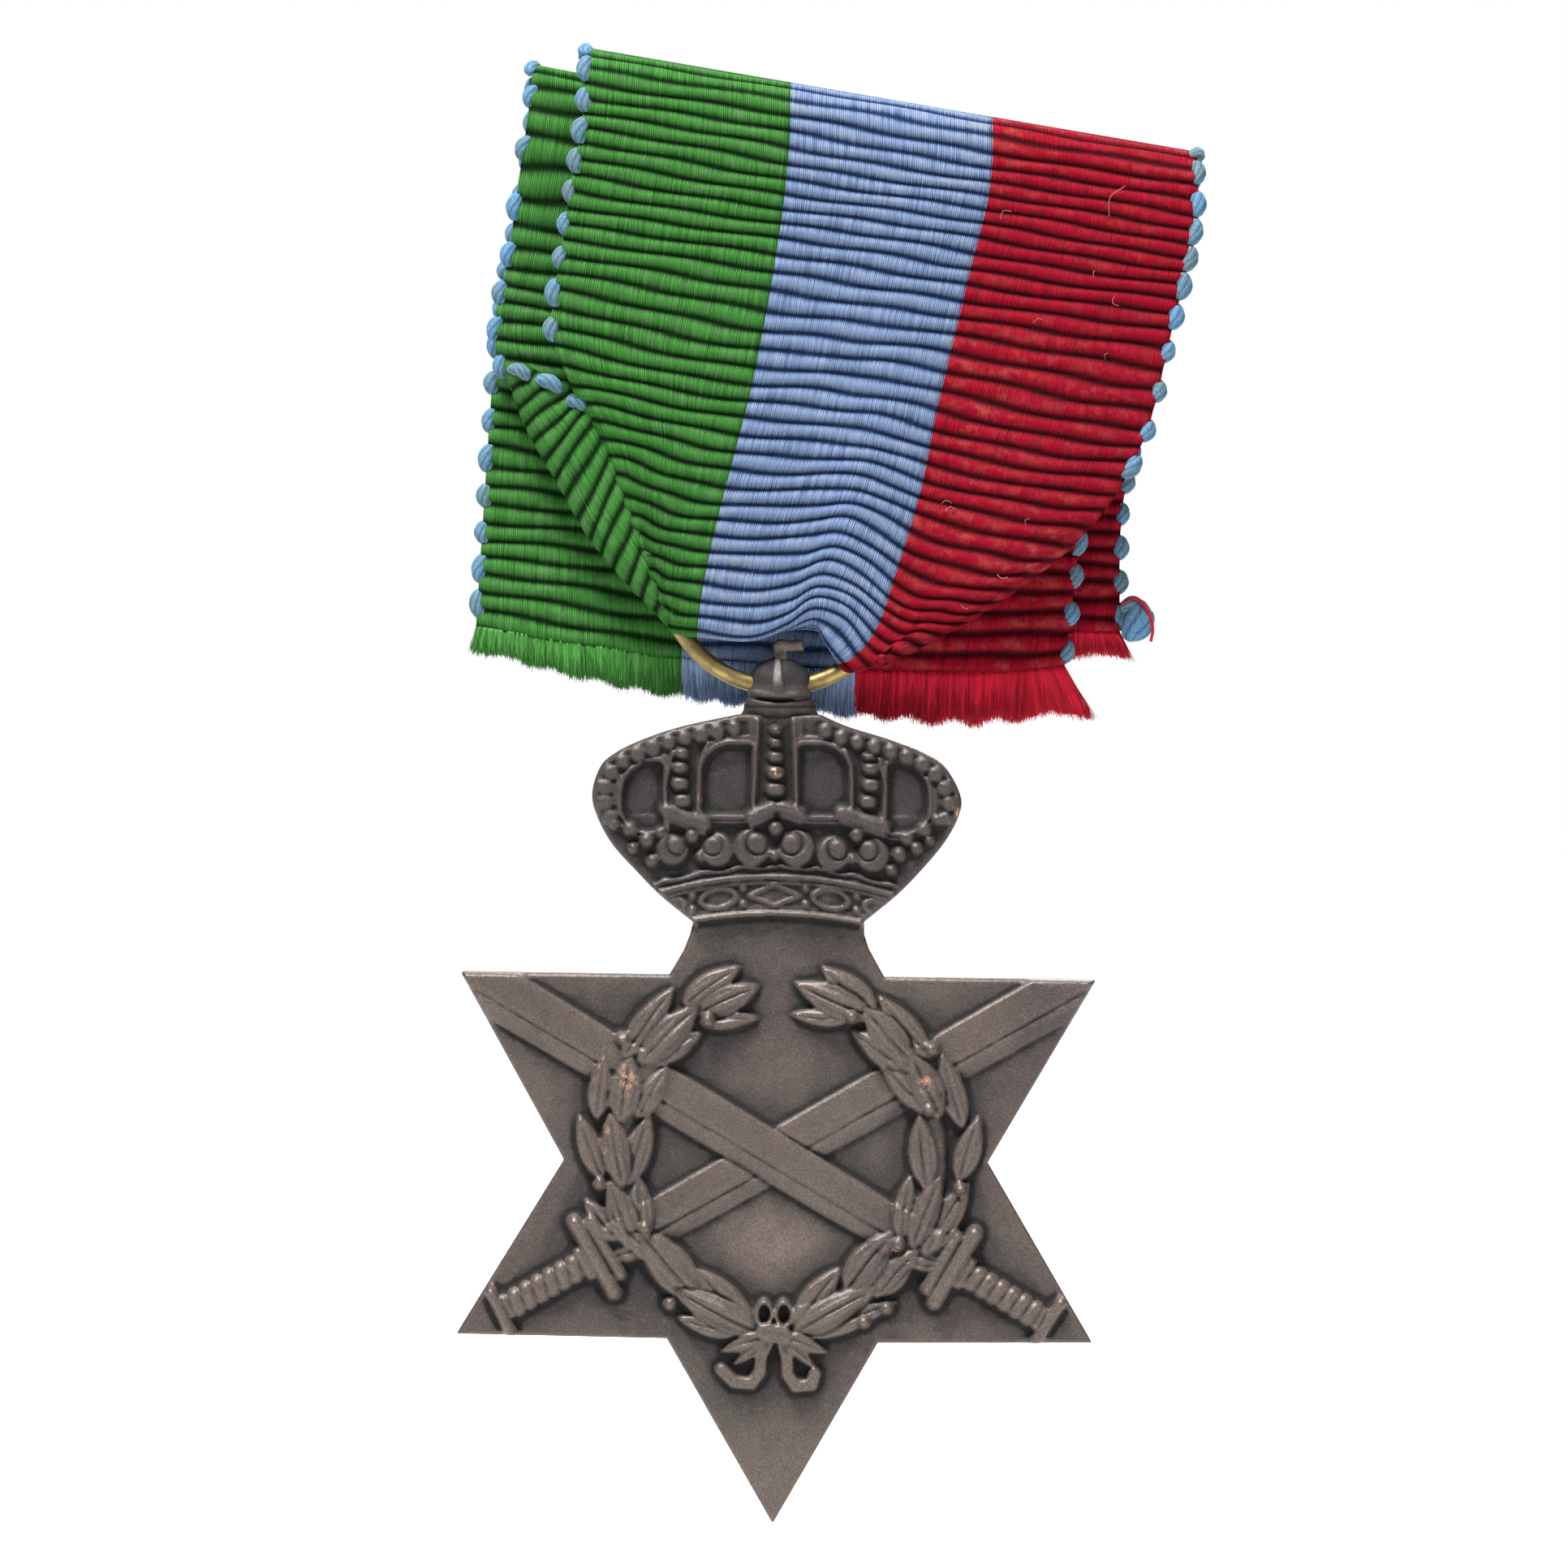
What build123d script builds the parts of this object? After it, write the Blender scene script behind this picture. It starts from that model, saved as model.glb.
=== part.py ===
from build123d import *
import os
from math import cos, hypot, radians, sin, tan

# A star-shaped service medal on a brass ring, hung from a folded three-colour ribbon.
# X points to the wearer's left (right as seen from the front), Y points to the back,
# Z points up.  The origin is inside the ribbon's top loop, straight above the medal.

# ---- driving dimensions, millimetres and degrees ----
MEDAL_Y = -1.8             # mid-plane of the medal and its ring
STAR_Z = -66.2             # centre of the star
STAR_TIP = 23.1            # centre to a point of the star
STAR_NOTCH = 13.4          # centre to an inner corner
PLATE_BACK = 1.0           # mid-plane to the flat back
PLATE_FRONT = 0.7          # mid-plane to the sunk field
NECK_TOP_HALF = 5.2
NECK_TOP_Z = -51.0

BLADE_HEIGHT = 0.4
BLADE_WIDTH = 3.0
SWORD_TILT = 30.5          # blade above the horizontal
BLADE_REACH = 21.6         # star centre to where the blade leaves the arm
HILT_START = 12.3          # star centre to the guard
GUARD_LENGTH = 5.2
GUARD_WIDTH = 1.2
GRIP_LENGTH = 5.9
GRIP_WIDTH = 1.9
POMMEL_LENGTH = 3.2
POMMEL_WIDTH = 0.9

BOW_DROP = 10.9            # star centre down to the bow's knot
BOW_KNOT = (1.7, 1.4)
BOW_LOOP = (0.55, 1.0)     # half axes of the loops above, the side loops and the tails
BOW_SIDE_LOOP = (1.6, 0.6)
BOW_TAIL = (3.4, 0.9)

WREATH_RADIUS = 10.3
WREATH_START = -68.0       # first leaf pair beside the bow, degrees round the star
WREATH_END = 58.0          # last leaf pair, at the open top
LEAF_PAIRS = 7
LEAF_LENGTH = 4.8
LEAF_WIDTH = 1.8
LEAF_SPREAD = 24.0         # how far a leaf turns away from the stem
LEAF_KNOT = 0.6            # radius of the node that three leaves grow from
STEM_WIDTH = 1.0
LEAF_HEIGHT = 0.8
STEM_HEIGHT = 0.6

CROWN_TOP_Z = -37.9
CROWN_RELIEF = 0.4
CROWN_STRIP = 0.3
BEAD_RADIUS = 0.36

ORB_RADIUS = 2.1
ORB_THICKNESS = 3.0
ORB_HEIGHT = 3.7
BORE_RADIUS = 0.95
CROSS_THICKNESS = 0.9
CROSS_BAR = 0.8            # width of the upright, which stands a little right of the middle
CROSS_OFFSET = 0.2
CROSS_ARM = (2.0, 0.7)     # the arm that is left, worn short, and its offset
CROSS_ARM_OFFSET = 0.65
CROSS_ROOT = 0.3           # how deep the upright sits in the orb
CROSS_TOP_Z = -33.1

RING_RADIUS = 7.45         # to the middle of the wire
WIRE_RADIUS = 0.55
RING_Z = -28.7

CLOTH = 0.7                # thickness of the ribbed ribbon
FRONT_FALL_Y = MEDAL_Y - 1.1
REAR_FALL_Y = -0.7
INNER_TAIL_Y = 0.7
OUTER_TAIL_Y = 1.7
LOOP_SLOPE = 9.6           # the loop runs downhill towards +X
OUTER_LOOP_DROP = 0.25     # outer loop's centre below the inner one
BIGHT_Z = -32.7            # lowest line of the ribbon inside the ring
BIGHT_HALF = 4.4
BIGHT_DEPTH = 0.8
PICOT_RADIUS = 0.5
PICOT_PITCH = 2.4
PICOT_GAP = 0.06
FRINGE = 0.5               # thickness of the frayed ends

FIELD_Y = MEDAL_Y - PLATE_FRONT
BACK_Y = MEDAL_Y + PLATE_BACK
BORE_Z = RING_Z - RING_RADIUS

os.makedirs("parts", exist_ok=True)


def save(piece, name):
    """Labels a finished piece and writes it under its own name."""
    piece.label = name
    export_step(piece, f"parts/{name}.step")


def face_plane(y):
    """The plane at depth y whose drawing is seen from the front: x to the right, z up."""
    return Plane.XZ.offset(-y)


def polar(radius, angle, z=STAR_Z):
    return (radius * cos(radians(angle)), z + radius * sin(radians(angle)))


# ---- medal: star, neck and crown blank in one plate with a flat back ----

star_corners = [polar(STAR_NOTCH, 120)]
for tip_angle in (150, 210, 270, 330, 30):
    star_corners.append(polar(STAR_TIP, tip_angle))
    star_corners.append(polar(STAR_NOTCH, tip_angle + 30))
neck_corners = [star_corners[-1], (NECK_TOP_HALF, NECK_TOP_Z),
                (-NECK_TOP_HALF, NECK_TOP_Z), star_corners[0]]
crown_side = [(NECK_TOP_HALF, NECK_TOP_Z), (9.9, -46.4), (11.8, -42.6), (9.5, -39.6),
              (4.1, -38.3), (2.4, CROWN_TOP_Z)]


with BuildSketch() as crown_outline:
    with BuildLine():
        Spline(*crown_side)
        Polyline(crown_side[-1], (0, CROWN_TOP_Z), (0, NECK_TOP_Z), crown_side[0])
    make_face()
    mirror(about=Plane.YZ)

with BuildPart() as star_plate:
    with BuildSketch(face_plane(BACK_Y)):
        with BuildLine():
            Polyline(*star_corners, close=True)
        make_face()
        with BuildLine():
            Polyline(*neck_corners, close=True)
        make_face()
        add(crown_outline.sketch)
    extrude(amount=PLATE_BACK + PLATE_FRONT)
save(star_plate.part, "star_plate")


# ---- crossed swords in low relief; the left-leaning blade lies on top ----

def sword_sketch(lean, clear_centre):
    """Blade to the upper tip, then guard, grip and pommel towards the lower tip.

    lean is +1 for the blade that points to the upper left.  The other blade is cut
    where the first one crosses it.
    """
    turn = 180 - SWORD_TILT if lean > 0 else SWORD_TILT
    blade_middle = (BLADE_REACH - HILT_START) / 2
    blade_length = BLADE_REACH + HILT_START
    centre = Location((0, STAR_Z, 0), (0, 0, turn))
    grip_middle = HILT_START + GUARD_WIDTH + GRIP_LENGTH / 2
    pommel_middle = HILT_START + GUARD_WIDTH + GRIP_LENGTH + POMMEL_WIDTH / 2
    with Locations(centre):
        with Locations((blade_middle, 0)):
            Rectangle(blade_length, BLADE_WIDTH)
        with Locations((-HILT_START - GUARD_WIDTH / 2, 0)):
            SlotOverall(GUARD_LENGTH, GUARD_WIDTH, rotation=90)
        with Locations((-grip_middle, 0)):
            Rectangle(GRIP_LENGTH + GUARD_WIDTH / 2, GRIP_WIDTH)
        with Locations((-pommel_middle, 0)):
            SlotOverall(POMMEL_LENGTH, POMMEL_WIDTH, rotation=90)
    if clear_centre:
        with Locations(Location((0, STAR_Z, 0), (0, 0, -SWORD_TILT))):
            Rectangle(3 * BLADE_WIDTH, BLADE_WIDTH, mode=Mode.SUBTRACT)


swords = {}
for name, lean, clear_centre in (("left_blade_sword", 1, False),
                                 ("right_blade_sword", -1, True)):
    with BuildPart() as sword:
        with BuildSketch(face_plane(FIELD_Y)):
            sword_sketch(lean, clear_centre)
        extrude(amount=BLADE_HEIGHT)
    save(sword.part, name)
    swords[name] = sword.part


# ---- laurel branches: a stem along the circle and pairs of lens-shaped leaves ----

with BuildSketch() as laurel_leaf:
    with BuildLine():
        ThreePointArc((0, 0), (LEAF_LENGTH / 2, LEAF_WIDTH / 2), (LEAF_LENGTH, 0))
        ThreePointArc((LEAF_LENGTH, 0), (LEAF_LENGTH / 2, -LEAF_WIDTH / 2), (0, 0))
    make_face()

branches = []
leaf_step = (WREATH_END - WREATH_START) / (LEAF_PAIRS - 1)
for name, side in (("laurel_branch_left", -1), ("laurel_branch_right", 1)):
    with BuildPart() as branch:
        with BuildSketch(face_plane(FIELD_Y)):
            for pair in range(LEAF_PAIRS):
                angle = WREATH_START + pair * leaf_step
                x, z = polar(WREATH_RADIUS, angle)
                with Locations((side * x, z)):
                    Circle(LEAF_KNOT)
                for spread in (-LEAF_SPREAD, 0, LEAF_SPREAD):
                    heading = angle + 90 + spread
                    if side < 0:
                        heading = 180 - heading
                    with Locations(Location((side * x, z, 0), (0, 0, heading))):
                        add(laurel_leaf.sketch)
        extrude(amount=LEAF_HEIGHT)
        with BuildSketch(face_plane(FIELD_Y)):
            with BuildLine():
                ends = [polar(WREATH_RADIUS, a) for a in (WREATH_START, 0, WREATH_END)]
                ThreePointArc(*[(side * x, z) for x, z in ends])
            trace(line_width=STEM_WIDTH)
        extrude(amount=STEM_HEIGHT)
        for blade in swords.values():
            add(blade, mode=Mode.SUBTRACT)
    save(branch.part, name)
    branches.append(branch.part)


# ---- bow that ties the two branches ----

BOW_Z = STAR_Z - BOW_DROP
# Where each bow part sits beside the knot, and its turn.
BOW_LOOP_SPOT = (0.7, 1.3, 25)
BOW_SIDE_SPOT = (2.0, -0.6, 18)
BOW_TAIL_SPOT = (1.5, -1.6, 58)


def beside_knot(side, spot):
    """A place beside the bow's knot, mirrored for the left side."""
    offset, rise, turn = spot
    return Locations(Location((side * offset, BOW_Z + rise, 0), (0, 0, -side * turn)))


with BuildPart() as wreath_bow:
    with BuildSketch(face_plane(FIELD_Y)):
        with Locations((0, BOW_Z)):
            RectangleRounded(*BOW_KNOT, 0.4)
        for side in (-1, 1):
            with beside_knot(side, BOW_LOOP_SPOT):
                Ellipse(*BOW_LOOP)
            with beside_knot(side, BOW_SIDE_SPOT):
                Ellipse(*BOW_SIDE_LOOP)
            with beside_knot(side, BOW_TAIL_SPOT):
                SlotOverall(*BOW_TAIL)
    extrude(amount=LEAF_HEIGHT)
    for branch_part in branches:
        add(branch_part, mode=Mode.SUBTRACT)
save(wreath_bow.part, "wreath_bow")


# ---- crown relief: pierced cap, raised arches, beads, leaves and the lower band ----

CAP_FACE_Y = FIELD_Y - CROWN_RELIEF
ARCH_FACE_Y = CAP_FACE_Y - CROWN_STRIP
BAND_HALF = 7.2            # half width of the band's upper edge
BAND_SIDE_Z = -48.7
BAND_TOP_Z = -47.8
CAP_HALF = 9.0             # half width of the arc where the cap ends above the band
CAP_SIDE_Z = -48.6
CAP_BASE_Z = -47.4
LEAF_ROW_Z = -46.0
# Sunk windows of the cap: offset, height, width and tallness, corner radius.
INNER_WINDOW = (2.95, -42.2, 2.8, 3.6, 0.9)
OUTER_WINDOW = (8.3, -42.7, 2.2, 3.8, 0.8)
# Arches: offset, height, width and tallness, lean.
CENTRE_ARCH = (0, -41.6, 2.3, 5.6, 0)
SIDE_ARCH = (5.7, -42.3, 2.0, 5.2, 3)
ARCH_CORNER = 0.5
BEAD_STEP = 1.05
CENTRE_BEAD_TOP_Z = -39.4
SIDE_BEAD_TOP = (5.6, -40.4)
SIDE_BEAD_LEAN = 0.06      # how far each lower bead stands further out
LEAF_OFFSETS = (1.4, 3.9, 6.2)
CROWN_LEAF_RADIUS = 0.95

with BuildPart() as crown_cap:
    with BuildSketch(face_plane(FIELD_Y)):
        add(crown_outline.sketch)
        with BuildLine():
            ThreePointArc((-CAP_HALF, CAP_SIDE_Z), (0, CAP_BASE_Z), (CAP_HALF, CAP_SIDE_Z))
            Polyline((CAP_HALF, CAP_SIDE_Z), (CAP_HALF, NECK_TOP_Z - 1),
                     (-CAP_HALF, NECK_TOP_Z - 1), (-CAP_HALF, CAP_SIDE_Z))
        make_face(mode=Mode.SUBTRACT)
        for side in (-1, 1):
            for offset, z, width, tallness, corner in (INNER_WINDOW, OUTER_WINDOW):
                with Locations((side * offset, z)):
                    RectangleRounded(width, tallness, corner, mode=Mode.SUBTRACT)
    extrude(amount=CROWN_RELIEF)
save(crown_cap.part, "crown_cap")

with BuildPart() as crown_arches:
    with BuildSketch(face_plane(CAP_FACE_Y)):
        for side, arch in ((0, CENTRE_ARCH), (-1, SIDE_ARCH), (1, SIDE_ARCH)):
            offset, z, width, tallness, lean = arch
            with Locations(Location((side * offset, z, 0), (0, 0, side * lean))):
                RectangleRounded(width, tallness, ARCH_CORNER)
    extrude(amount=CROWN_STRIP)
save(crown_arches.part, "crown_arches")


def domes(spots, radius, base_y):
    """Half balls standing on the plane at base_y, one at each (x, z)."""
    with BuildPart() as group:
        with Locations(*[(x, base_y, z) for x, z in spots]):
            Sphere(radius)
        split(bisect_by=face_plane(base_y), keep=Keep.TOP)
    return group.part


arch_beads = [(0, CENTRE_BEAD_TOP_Z - BEAD_STEP * step) for step in range(5)]
arch_beads += [(side * (SIDE_BEAD_TOP[0] + SIDE_BEAD_LEAN * step),
                SIDE_BEAD_TOP[1] - BEAD_STEP * step)
               for side in (-1, 1) for step in range(4)]
save(domes(arch_beads, BEAD_RADIUS, ARCH_FACE_Y), "crown_arch_beads")

leaf_spots = [(side * offset, LEAF_ROW_Z) for side in (-1, 1) for offset in LEAF_OFFSETS]
save(domes(leaf_spots, CROWN_LEAF_RADIUS, CAP_FACE_Y), "crown_leaves")

band_low_z = NECK_TOP_Z + 0.2
with BuildPart() as crown_band:
    with BuildSketch(face_plane(FIELD_Y)):
        with BuildLine():
            ThreePointArc((-BAND_HALF, BAND_SIDE_Z), (0, BAND_TOP_Z), (BAND_HALF, BAND_SIDE_Z))
            Polyline((BAND_HALF, BAND_SIDE_Z), (NECK_TOP_HALF, band_low_z))
            ThreePointArc((NECK_TOP_HALF, band_low_z), (0, band_low_z + 0.5),
                          (-NECK_TOP_HALF, band_low_z))
            Polyline((-NECK_TOP_HALF, band_low_z), (-BAND_HALF, BAND_SIDE_Z))
        make_face()
    extrude(amount=CROWN_RELIEF + CROWN_STRIP)
    add(crown_cap.part, mode=Mode.SUBTRACT)
save(crown_band.part, "crown_band")


# ---- orb bored for the ring, with the worn cross on top ----

with BuildPart() as orb_and_cross:
    with Locations((0, MEDAL_Y, CROWN_TOP_Z + ORB_HEIGHT / 2)):
        Sphere(ORB_RADIUS)
        Box(2 * ORB_RADIUS, ORB_THICKNESS, ORB_HEIGHT, mode=Mode.INTERSECT)
    orb_top = CROWN_TOP_Z + ORB_HEIGHT
    with Locations((CROSS_OFFSET, MEDAL_Y, (orb_top - CROSS_ROOT + CROSS_TOP_Z) / 2)):
        Box(CROSS_BAR, CROSS_THICKNESS, CROSS_TOP_Z - orb_top + CROSS_ROOT)
    with Locations((CROSS_ARM_OFFSET, MEDAL_Y, CROSS_TOP_Z - CROSS_ARM[1] / 2)):
        Box(CROSS_ARM[0], CROSS_THICKNESS, CROSS_ARM[1])
    with Locations((0, MEDAL_Y, BORE_Z)):
        Cylinder(BORE_RADIUS, 3 * ORB_RADIUS, rotation=(0, 90, 0), mode=Mode.SUBTRACT)
save(orb_and_cross.part, "orb_and_cross")


# ---- brass suspension ring ----

with BuildPart() as suspension_ring:
    with BuildSketch(Plane.YZ):
        with Locations((MEDAL_Y, BORE_Z)):
            Circle(WIRE_RADIUS)
    revolve(axis=Axis((0, MEDAL_Y, RING_Z), (0, 1, 0)))
save(suspension_ring.part, "suspension_ring")


# ---- ribbon: one woven strip in four layers, each with green, blue and red warp ----

COLOURS = ("green", "blue", "red")
TAN_SLOPE = tan(radians(LOOP_SLOPE))


def loop_z(x, drop):
    """Height of a loop's centre line at x."""
    return -drop - x * TAN_SLOPE


# Lines down each layer, from left to right: selvedge, green-blue, blue-red, selvedge.
# Each starts under its loop at the first x; the points below that are (x, z).
LAYERS = {
    "front_fall": (FRONT_FALL_Y, OUTER_LOOP_DROP, [
        (-12.6, [(-14.4, -15.0), (-11.2, -21.4), (-8.9, -27.6), (-5.3, BIGHT_Z)]),
        (1.0, [(-1.0, -14.1), (-3.0, -23.9), (-BIGHT_HALF, BIGHT_Z)]),
        (12.9, [(10.4, -15.6), (8.1, -25.4), (BIGHT_HALF, BIGHT_Z)]),
        (26.2, [(22.6, -21.0), (21.8, -23.8), (14.3, -29.6), (5.3, BIGHT_Z)])]),
    "rear_fall": (REAR_FALL_Y, 0.0, [
        (-16.1, [(-18.1, -15.8), (-11.9, -24.6), (-5.3, BIGHT_Z)]),
        (-2.8, [(-5.0, -15.0), (-BIGHT_HALF, BIGHT_Z)]),
        (9.3, [(7.0, -15.0), (BIGHT_HALF, BIGHT_Z)]),
        (22.3, [(20.0, -15.8), (18.0, -24.0), (5.3, BIGHT_Z)])]),
    "inner_tail": (INNER_TAIL_Y, 0.0, [
        (-16.1, [(-18.5, -18.4), (-19.4, -32.6)]),
        (-2.8, [(-6.2, -34.8)]),
        (9.3, [(4.5, -35.5)]),
        (22.3, [(19.2, -25.9), (18.2, -35.2)])]),
    "outer_tail": (OUTER_TAIL_Y, OUTER_LOOP_DROP, [
        (-12.6, [(-15.6, -18.0), (-16.9, -31.6)]),
        (1.0, [(-3.6, -31.8)]),
        (12.9, [(8.7, -32.0)]),
        (26.2, [(21.9, -24.3), (21.8, -32.3)])]),
}
# Each fall runs over the top, through its loop, into the tail behind it.
LOOPS = {"front_fall": ("outer_loop", OUTER_TAIL_Y), "rear_fall": ("inner_loop", INNER_TAIL_Y)}
# Ends of the frayed warp under each line of a tail.
FRINGES = {
    "inner_tail": [(-19.1, -34.0), (-6.2, -36.8), (4.4, -38.1), (19.4, -37.7)],
    "outer_tail": [(-16.9, -33.6), (-3.6, -34.0), (8.7, -34.0), (21.8, -33.9)],
}


def layer_part(outline, y, thickness):
    with BuildPart() as layer:
        with BuildSketch(face_plane(y + thickness / 2)):
            with BuildLine():
                Polyline(*outline, close=True)
            make_face()
        extrude(amount=thickness)
    return layer.part


def loop_part(x_from, x_to, drop, front_y, back_y):
    """Half tube that carries a fall over the top into its tail."""
    middle = (front_y + back_y) / 2
    radius = (back_y - front_y) / 2
    start = Plane(origin=(x_from, middle, loop_z(x_from, drop)), x_dir=(0, 1, 0),
                  z_dir=(cos(radians(LOOP_SLOPE)), 0, -sin(radians(LOOP_SLOPE))))
    with BuildPart() as loop:
        with BuildSketch(start):
            Circle(radius + CLOTH / 2)
            Circle(radius - CLOTH / 2, mode=Mode.SUBTRACT)
            with Locations((0, -radius - CLOTH)):
                Rectangle(3 * radius + 2 * CLOTH, 2 * radius + 2 * CLOTH, mode=Mode.SUBTRACT)
        extrude(amount=(x_to - x_from) / cos(radians(LOOP_SLOPE)))
    return loop.part


for name, (y, drop, lines) in LAYERS.items():
    edges = [[(top_x, loop_z(top_x, drop))] + points for top_x, points in lines]
    for left, right, colour in zip(edges, edges[1:], COLOURS):
        save(layer_part(left + right[::-1], y, CLOTH), f"{name}_{colour}")
        if name in LOOPS:
            loop_name, tail_y = LOOPS[name]
            save(loop_part(left[0][0], right[0][0], drop, y, tail_y), f"{loop_name}_{colour}")

# The left margin of the rear fall, turned forward beside the front fall.
save(layer_part([(-17.3, -16.9), (-12.4, -24.2), (-9.6, -27.8), (-9.4, -24.6), (-11.9, -18.9)],
                MEDAL_Y, CLOTH), "rear_fall_turned_margin")

# The bight that joins the two falls through the ring.
with BuildPart() as ribbon_bight:
    with Locations((0, (FRONT_FALL_Y + REAR_FALL_Y) / 2, BIGHT_Z + BIGHT_DEPTH / 2)):
        Box(2 * BIGHT_HALF, REAR_FALL_Y - FRONT_FALL_Y - CLOTH, BIGHT_DEPTH)
save(ribbon_bight.part, "ribbon_bight")

for name, ends in FRINGES.items():
    y, drop, lines = LAYERS[name]
    feet = [points[-1] for _, points in lines]
    for index, colour in enumerate(COLOURS):
        outline = [feet[index], feet[index + 1], ends[index + 1], ends[index]]
        save(layer_part(outline, y, FRINGE), f"{name}_fringe_{colour}")


# ---- picots: blue weft loops that stand out along both selvedges ----

def picot_spots(points, side):
    """Even spots beside a line of (x, z) points, just outside it."""
    spots = []
    stand_off = PICOT_RADIUS + PICOT_GAP
    for (x0, z0), (x1, z1) in zip(points, points[1:]):
        length = hypot(x1 - x0, z1 - z0)
        count = max(1, round(length / PICOT_PITCH))
        for step in range(count):
            share = (step + 0.5) / count
            along = (x0 + share * (x1 - x0), z0 + share * (z1 - z0))
            normal = (side * (z0 - z1) / length, side * (x1 - x0) / length)
            spots.append((along[0] + stand_off * normal[0], along[1] + stand_off * normal[1]))
    return spots


# How many straight stretches of each selvedge show their picots.
PICOT_STRETCHES = {"front_fall": (1, 1), "rear_fall": (1, 1),
                   "inner_tail": (2, 2), "outer_tail": (2, 2)}
for name, (y, drop, lines) in LAYERS.items():
    for edge, side, stretches in (("left", -1, PICOT_STRETCHES[name][0]),
                                  ("right", 1, PICOT_STRETCHES[name][1])):
        top_x, points = lines[0 if side < 0 else -1]
        line = [(top_x, loop_z(top_x, drop))] + points[:stretches]
        with BuildPart() as picots:
            with Locations(*[(x, y, z) for x, z in picot_spots(line, side)]):
                Sphere(PICOT_RADIUS)
        save(picots.part, f"{name}_picots_{edge}")
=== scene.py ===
import math
import random

import bpy
import mathutils
import numpy as np
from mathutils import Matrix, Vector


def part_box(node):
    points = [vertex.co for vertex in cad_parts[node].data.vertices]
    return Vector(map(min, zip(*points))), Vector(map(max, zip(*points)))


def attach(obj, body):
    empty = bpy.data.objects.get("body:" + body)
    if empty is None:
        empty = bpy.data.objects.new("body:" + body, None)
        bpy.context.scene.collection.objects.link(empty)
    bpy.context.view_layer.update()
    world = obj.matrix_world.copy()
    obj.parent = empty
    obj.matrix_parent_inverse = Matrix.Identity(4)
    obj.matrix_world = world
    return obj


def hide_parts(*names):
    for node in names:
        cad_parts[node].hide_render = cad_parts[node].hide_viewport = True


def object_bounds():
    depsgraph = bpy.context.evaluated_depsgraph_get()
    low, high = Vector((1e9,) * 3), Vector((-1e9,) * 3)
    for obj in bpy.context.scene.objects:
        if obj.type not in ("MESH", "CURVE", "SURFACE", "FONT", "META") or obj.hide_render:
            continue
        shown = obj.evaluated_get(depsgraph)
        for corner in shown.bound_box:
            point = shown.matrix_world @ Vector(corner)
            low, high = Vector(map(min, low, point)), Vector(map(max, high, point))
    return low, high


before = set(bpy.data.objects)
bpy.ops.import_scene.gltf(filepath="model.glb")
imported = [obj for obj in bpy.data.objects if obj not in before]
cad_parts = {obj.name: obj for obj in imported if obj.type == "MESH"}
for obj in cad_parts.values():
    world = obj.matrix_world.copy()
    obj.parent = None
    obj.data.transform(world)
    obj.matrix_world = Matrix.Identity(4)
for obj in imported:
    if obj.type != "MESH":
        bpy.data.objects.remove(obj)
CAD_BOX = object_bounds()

# Lengths are in millimetres until a mesh is made; MM turns them into metres.
MM = 0.001
rng = np.random.default_rng(7)
dice = random.Random(7)


def node_box(node):
    """Lowest and highest corner of a CAD node, in millimetres."""
    low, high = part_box(node)
    return np.array(low) / MM, np.array(high) / MM


PLATE_LOW, PLATE_HIGH = node_box("star_plate")
RING_LOW, RING_HIGH = node_box("suspension_ring")
ORB_LOW, ORB_HIGH = node_box("orb_and_cross")
FIELD_Y, BACK_Y = PLATE_LOW[1], PLATE_HIGH[1]
STAR_TIP = 23.1            # from the star's centre to its lowest point
STAR_Z = PLATE_LOW[2] + STAR_TIP
CROWN_TOP = PLATE_HIGH[2] - STAR_Z
MEDAL_Y = (RING_LOW[1] + RING_HIGH[1]) / 2
RING_Z = (RING_LOW[2] + RING_HIGH[2]) / 2


# ---------------------------------------------------------------- mesh helpers

def make_object(name, vertices, faces, smooth=True):
    """A mesh object from vertices in millimetres."""
    mesh = bpy.data.meshes.new(name)
    mesh.from_pydata((np.asarray(vertices) * MM).tolist(), [], faces)
    mesh.update()
    mesh.polygons.foreach_set("use_smooth", [smooth] * len(mesh.polygons))
    piece = bpy.data.objects.new(name, mesh)
    bpy.context.scene.collection.objects.link(piece)
    return piece


def add_numbers(piece, name, values):
    """Stores one number per vertex for the material to read."""
    layer = piece.data.attributes.new(name, "FLOAT", "POINT")
    layer.data.foreach_set("value", np.asarray(values, np.float32).ravel())


def add_vectors(piece, name, values):
    layer = piece.data.attributes.new(name, "FLOAT_VECTOR", "POINT")
    layer.data.foreach_set("vector", np.asarray(values, np.float32).ravel())


def grid_faces(rows, columns, offset=0, wrap=False, flip=False):
    """Quads of a rows x columns grid of vertices; wrap joins the last column to the first."""
    r = np.arange(rows - 1)[:, None]
    c = np.arange(columns if wrap else columns - 1)[None, :]
    nxt = (c + 1) % columns
    quads = np.stack([r * columns + c, r * columns + nxt,
                      (r + 1) * columns + nxt, (r + 1) * columns + c], -1).reshape(-1, 4)
    if flip:
        quads = quads[:, ::-1]
    return (quads + offset).tolist()


def tube_faces(rows, columns, offset=0, flip=False):
    """Faces of a tube of rings with both of its ends closed."""
    turn = 1 if flip else -1
    first = [offset + i for i in range(columns)]
    last = [offset + (rows - 1) * columns + i for i in range(columns)]
    return grid_faces(rows, columns, offset, True, flip) + [first[::turn], last[::-turn]]


def joined(parts):
    """Several meshes, each given as vertices and faces, as one."""
    faces, total = [], 0
    for vertices, own in parts:
        faces += [[i + total for i in face] for face in own]
        total += len(vertices)
    return np.concatenate([vertices for vertices, _ in parts]), faces


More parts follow.
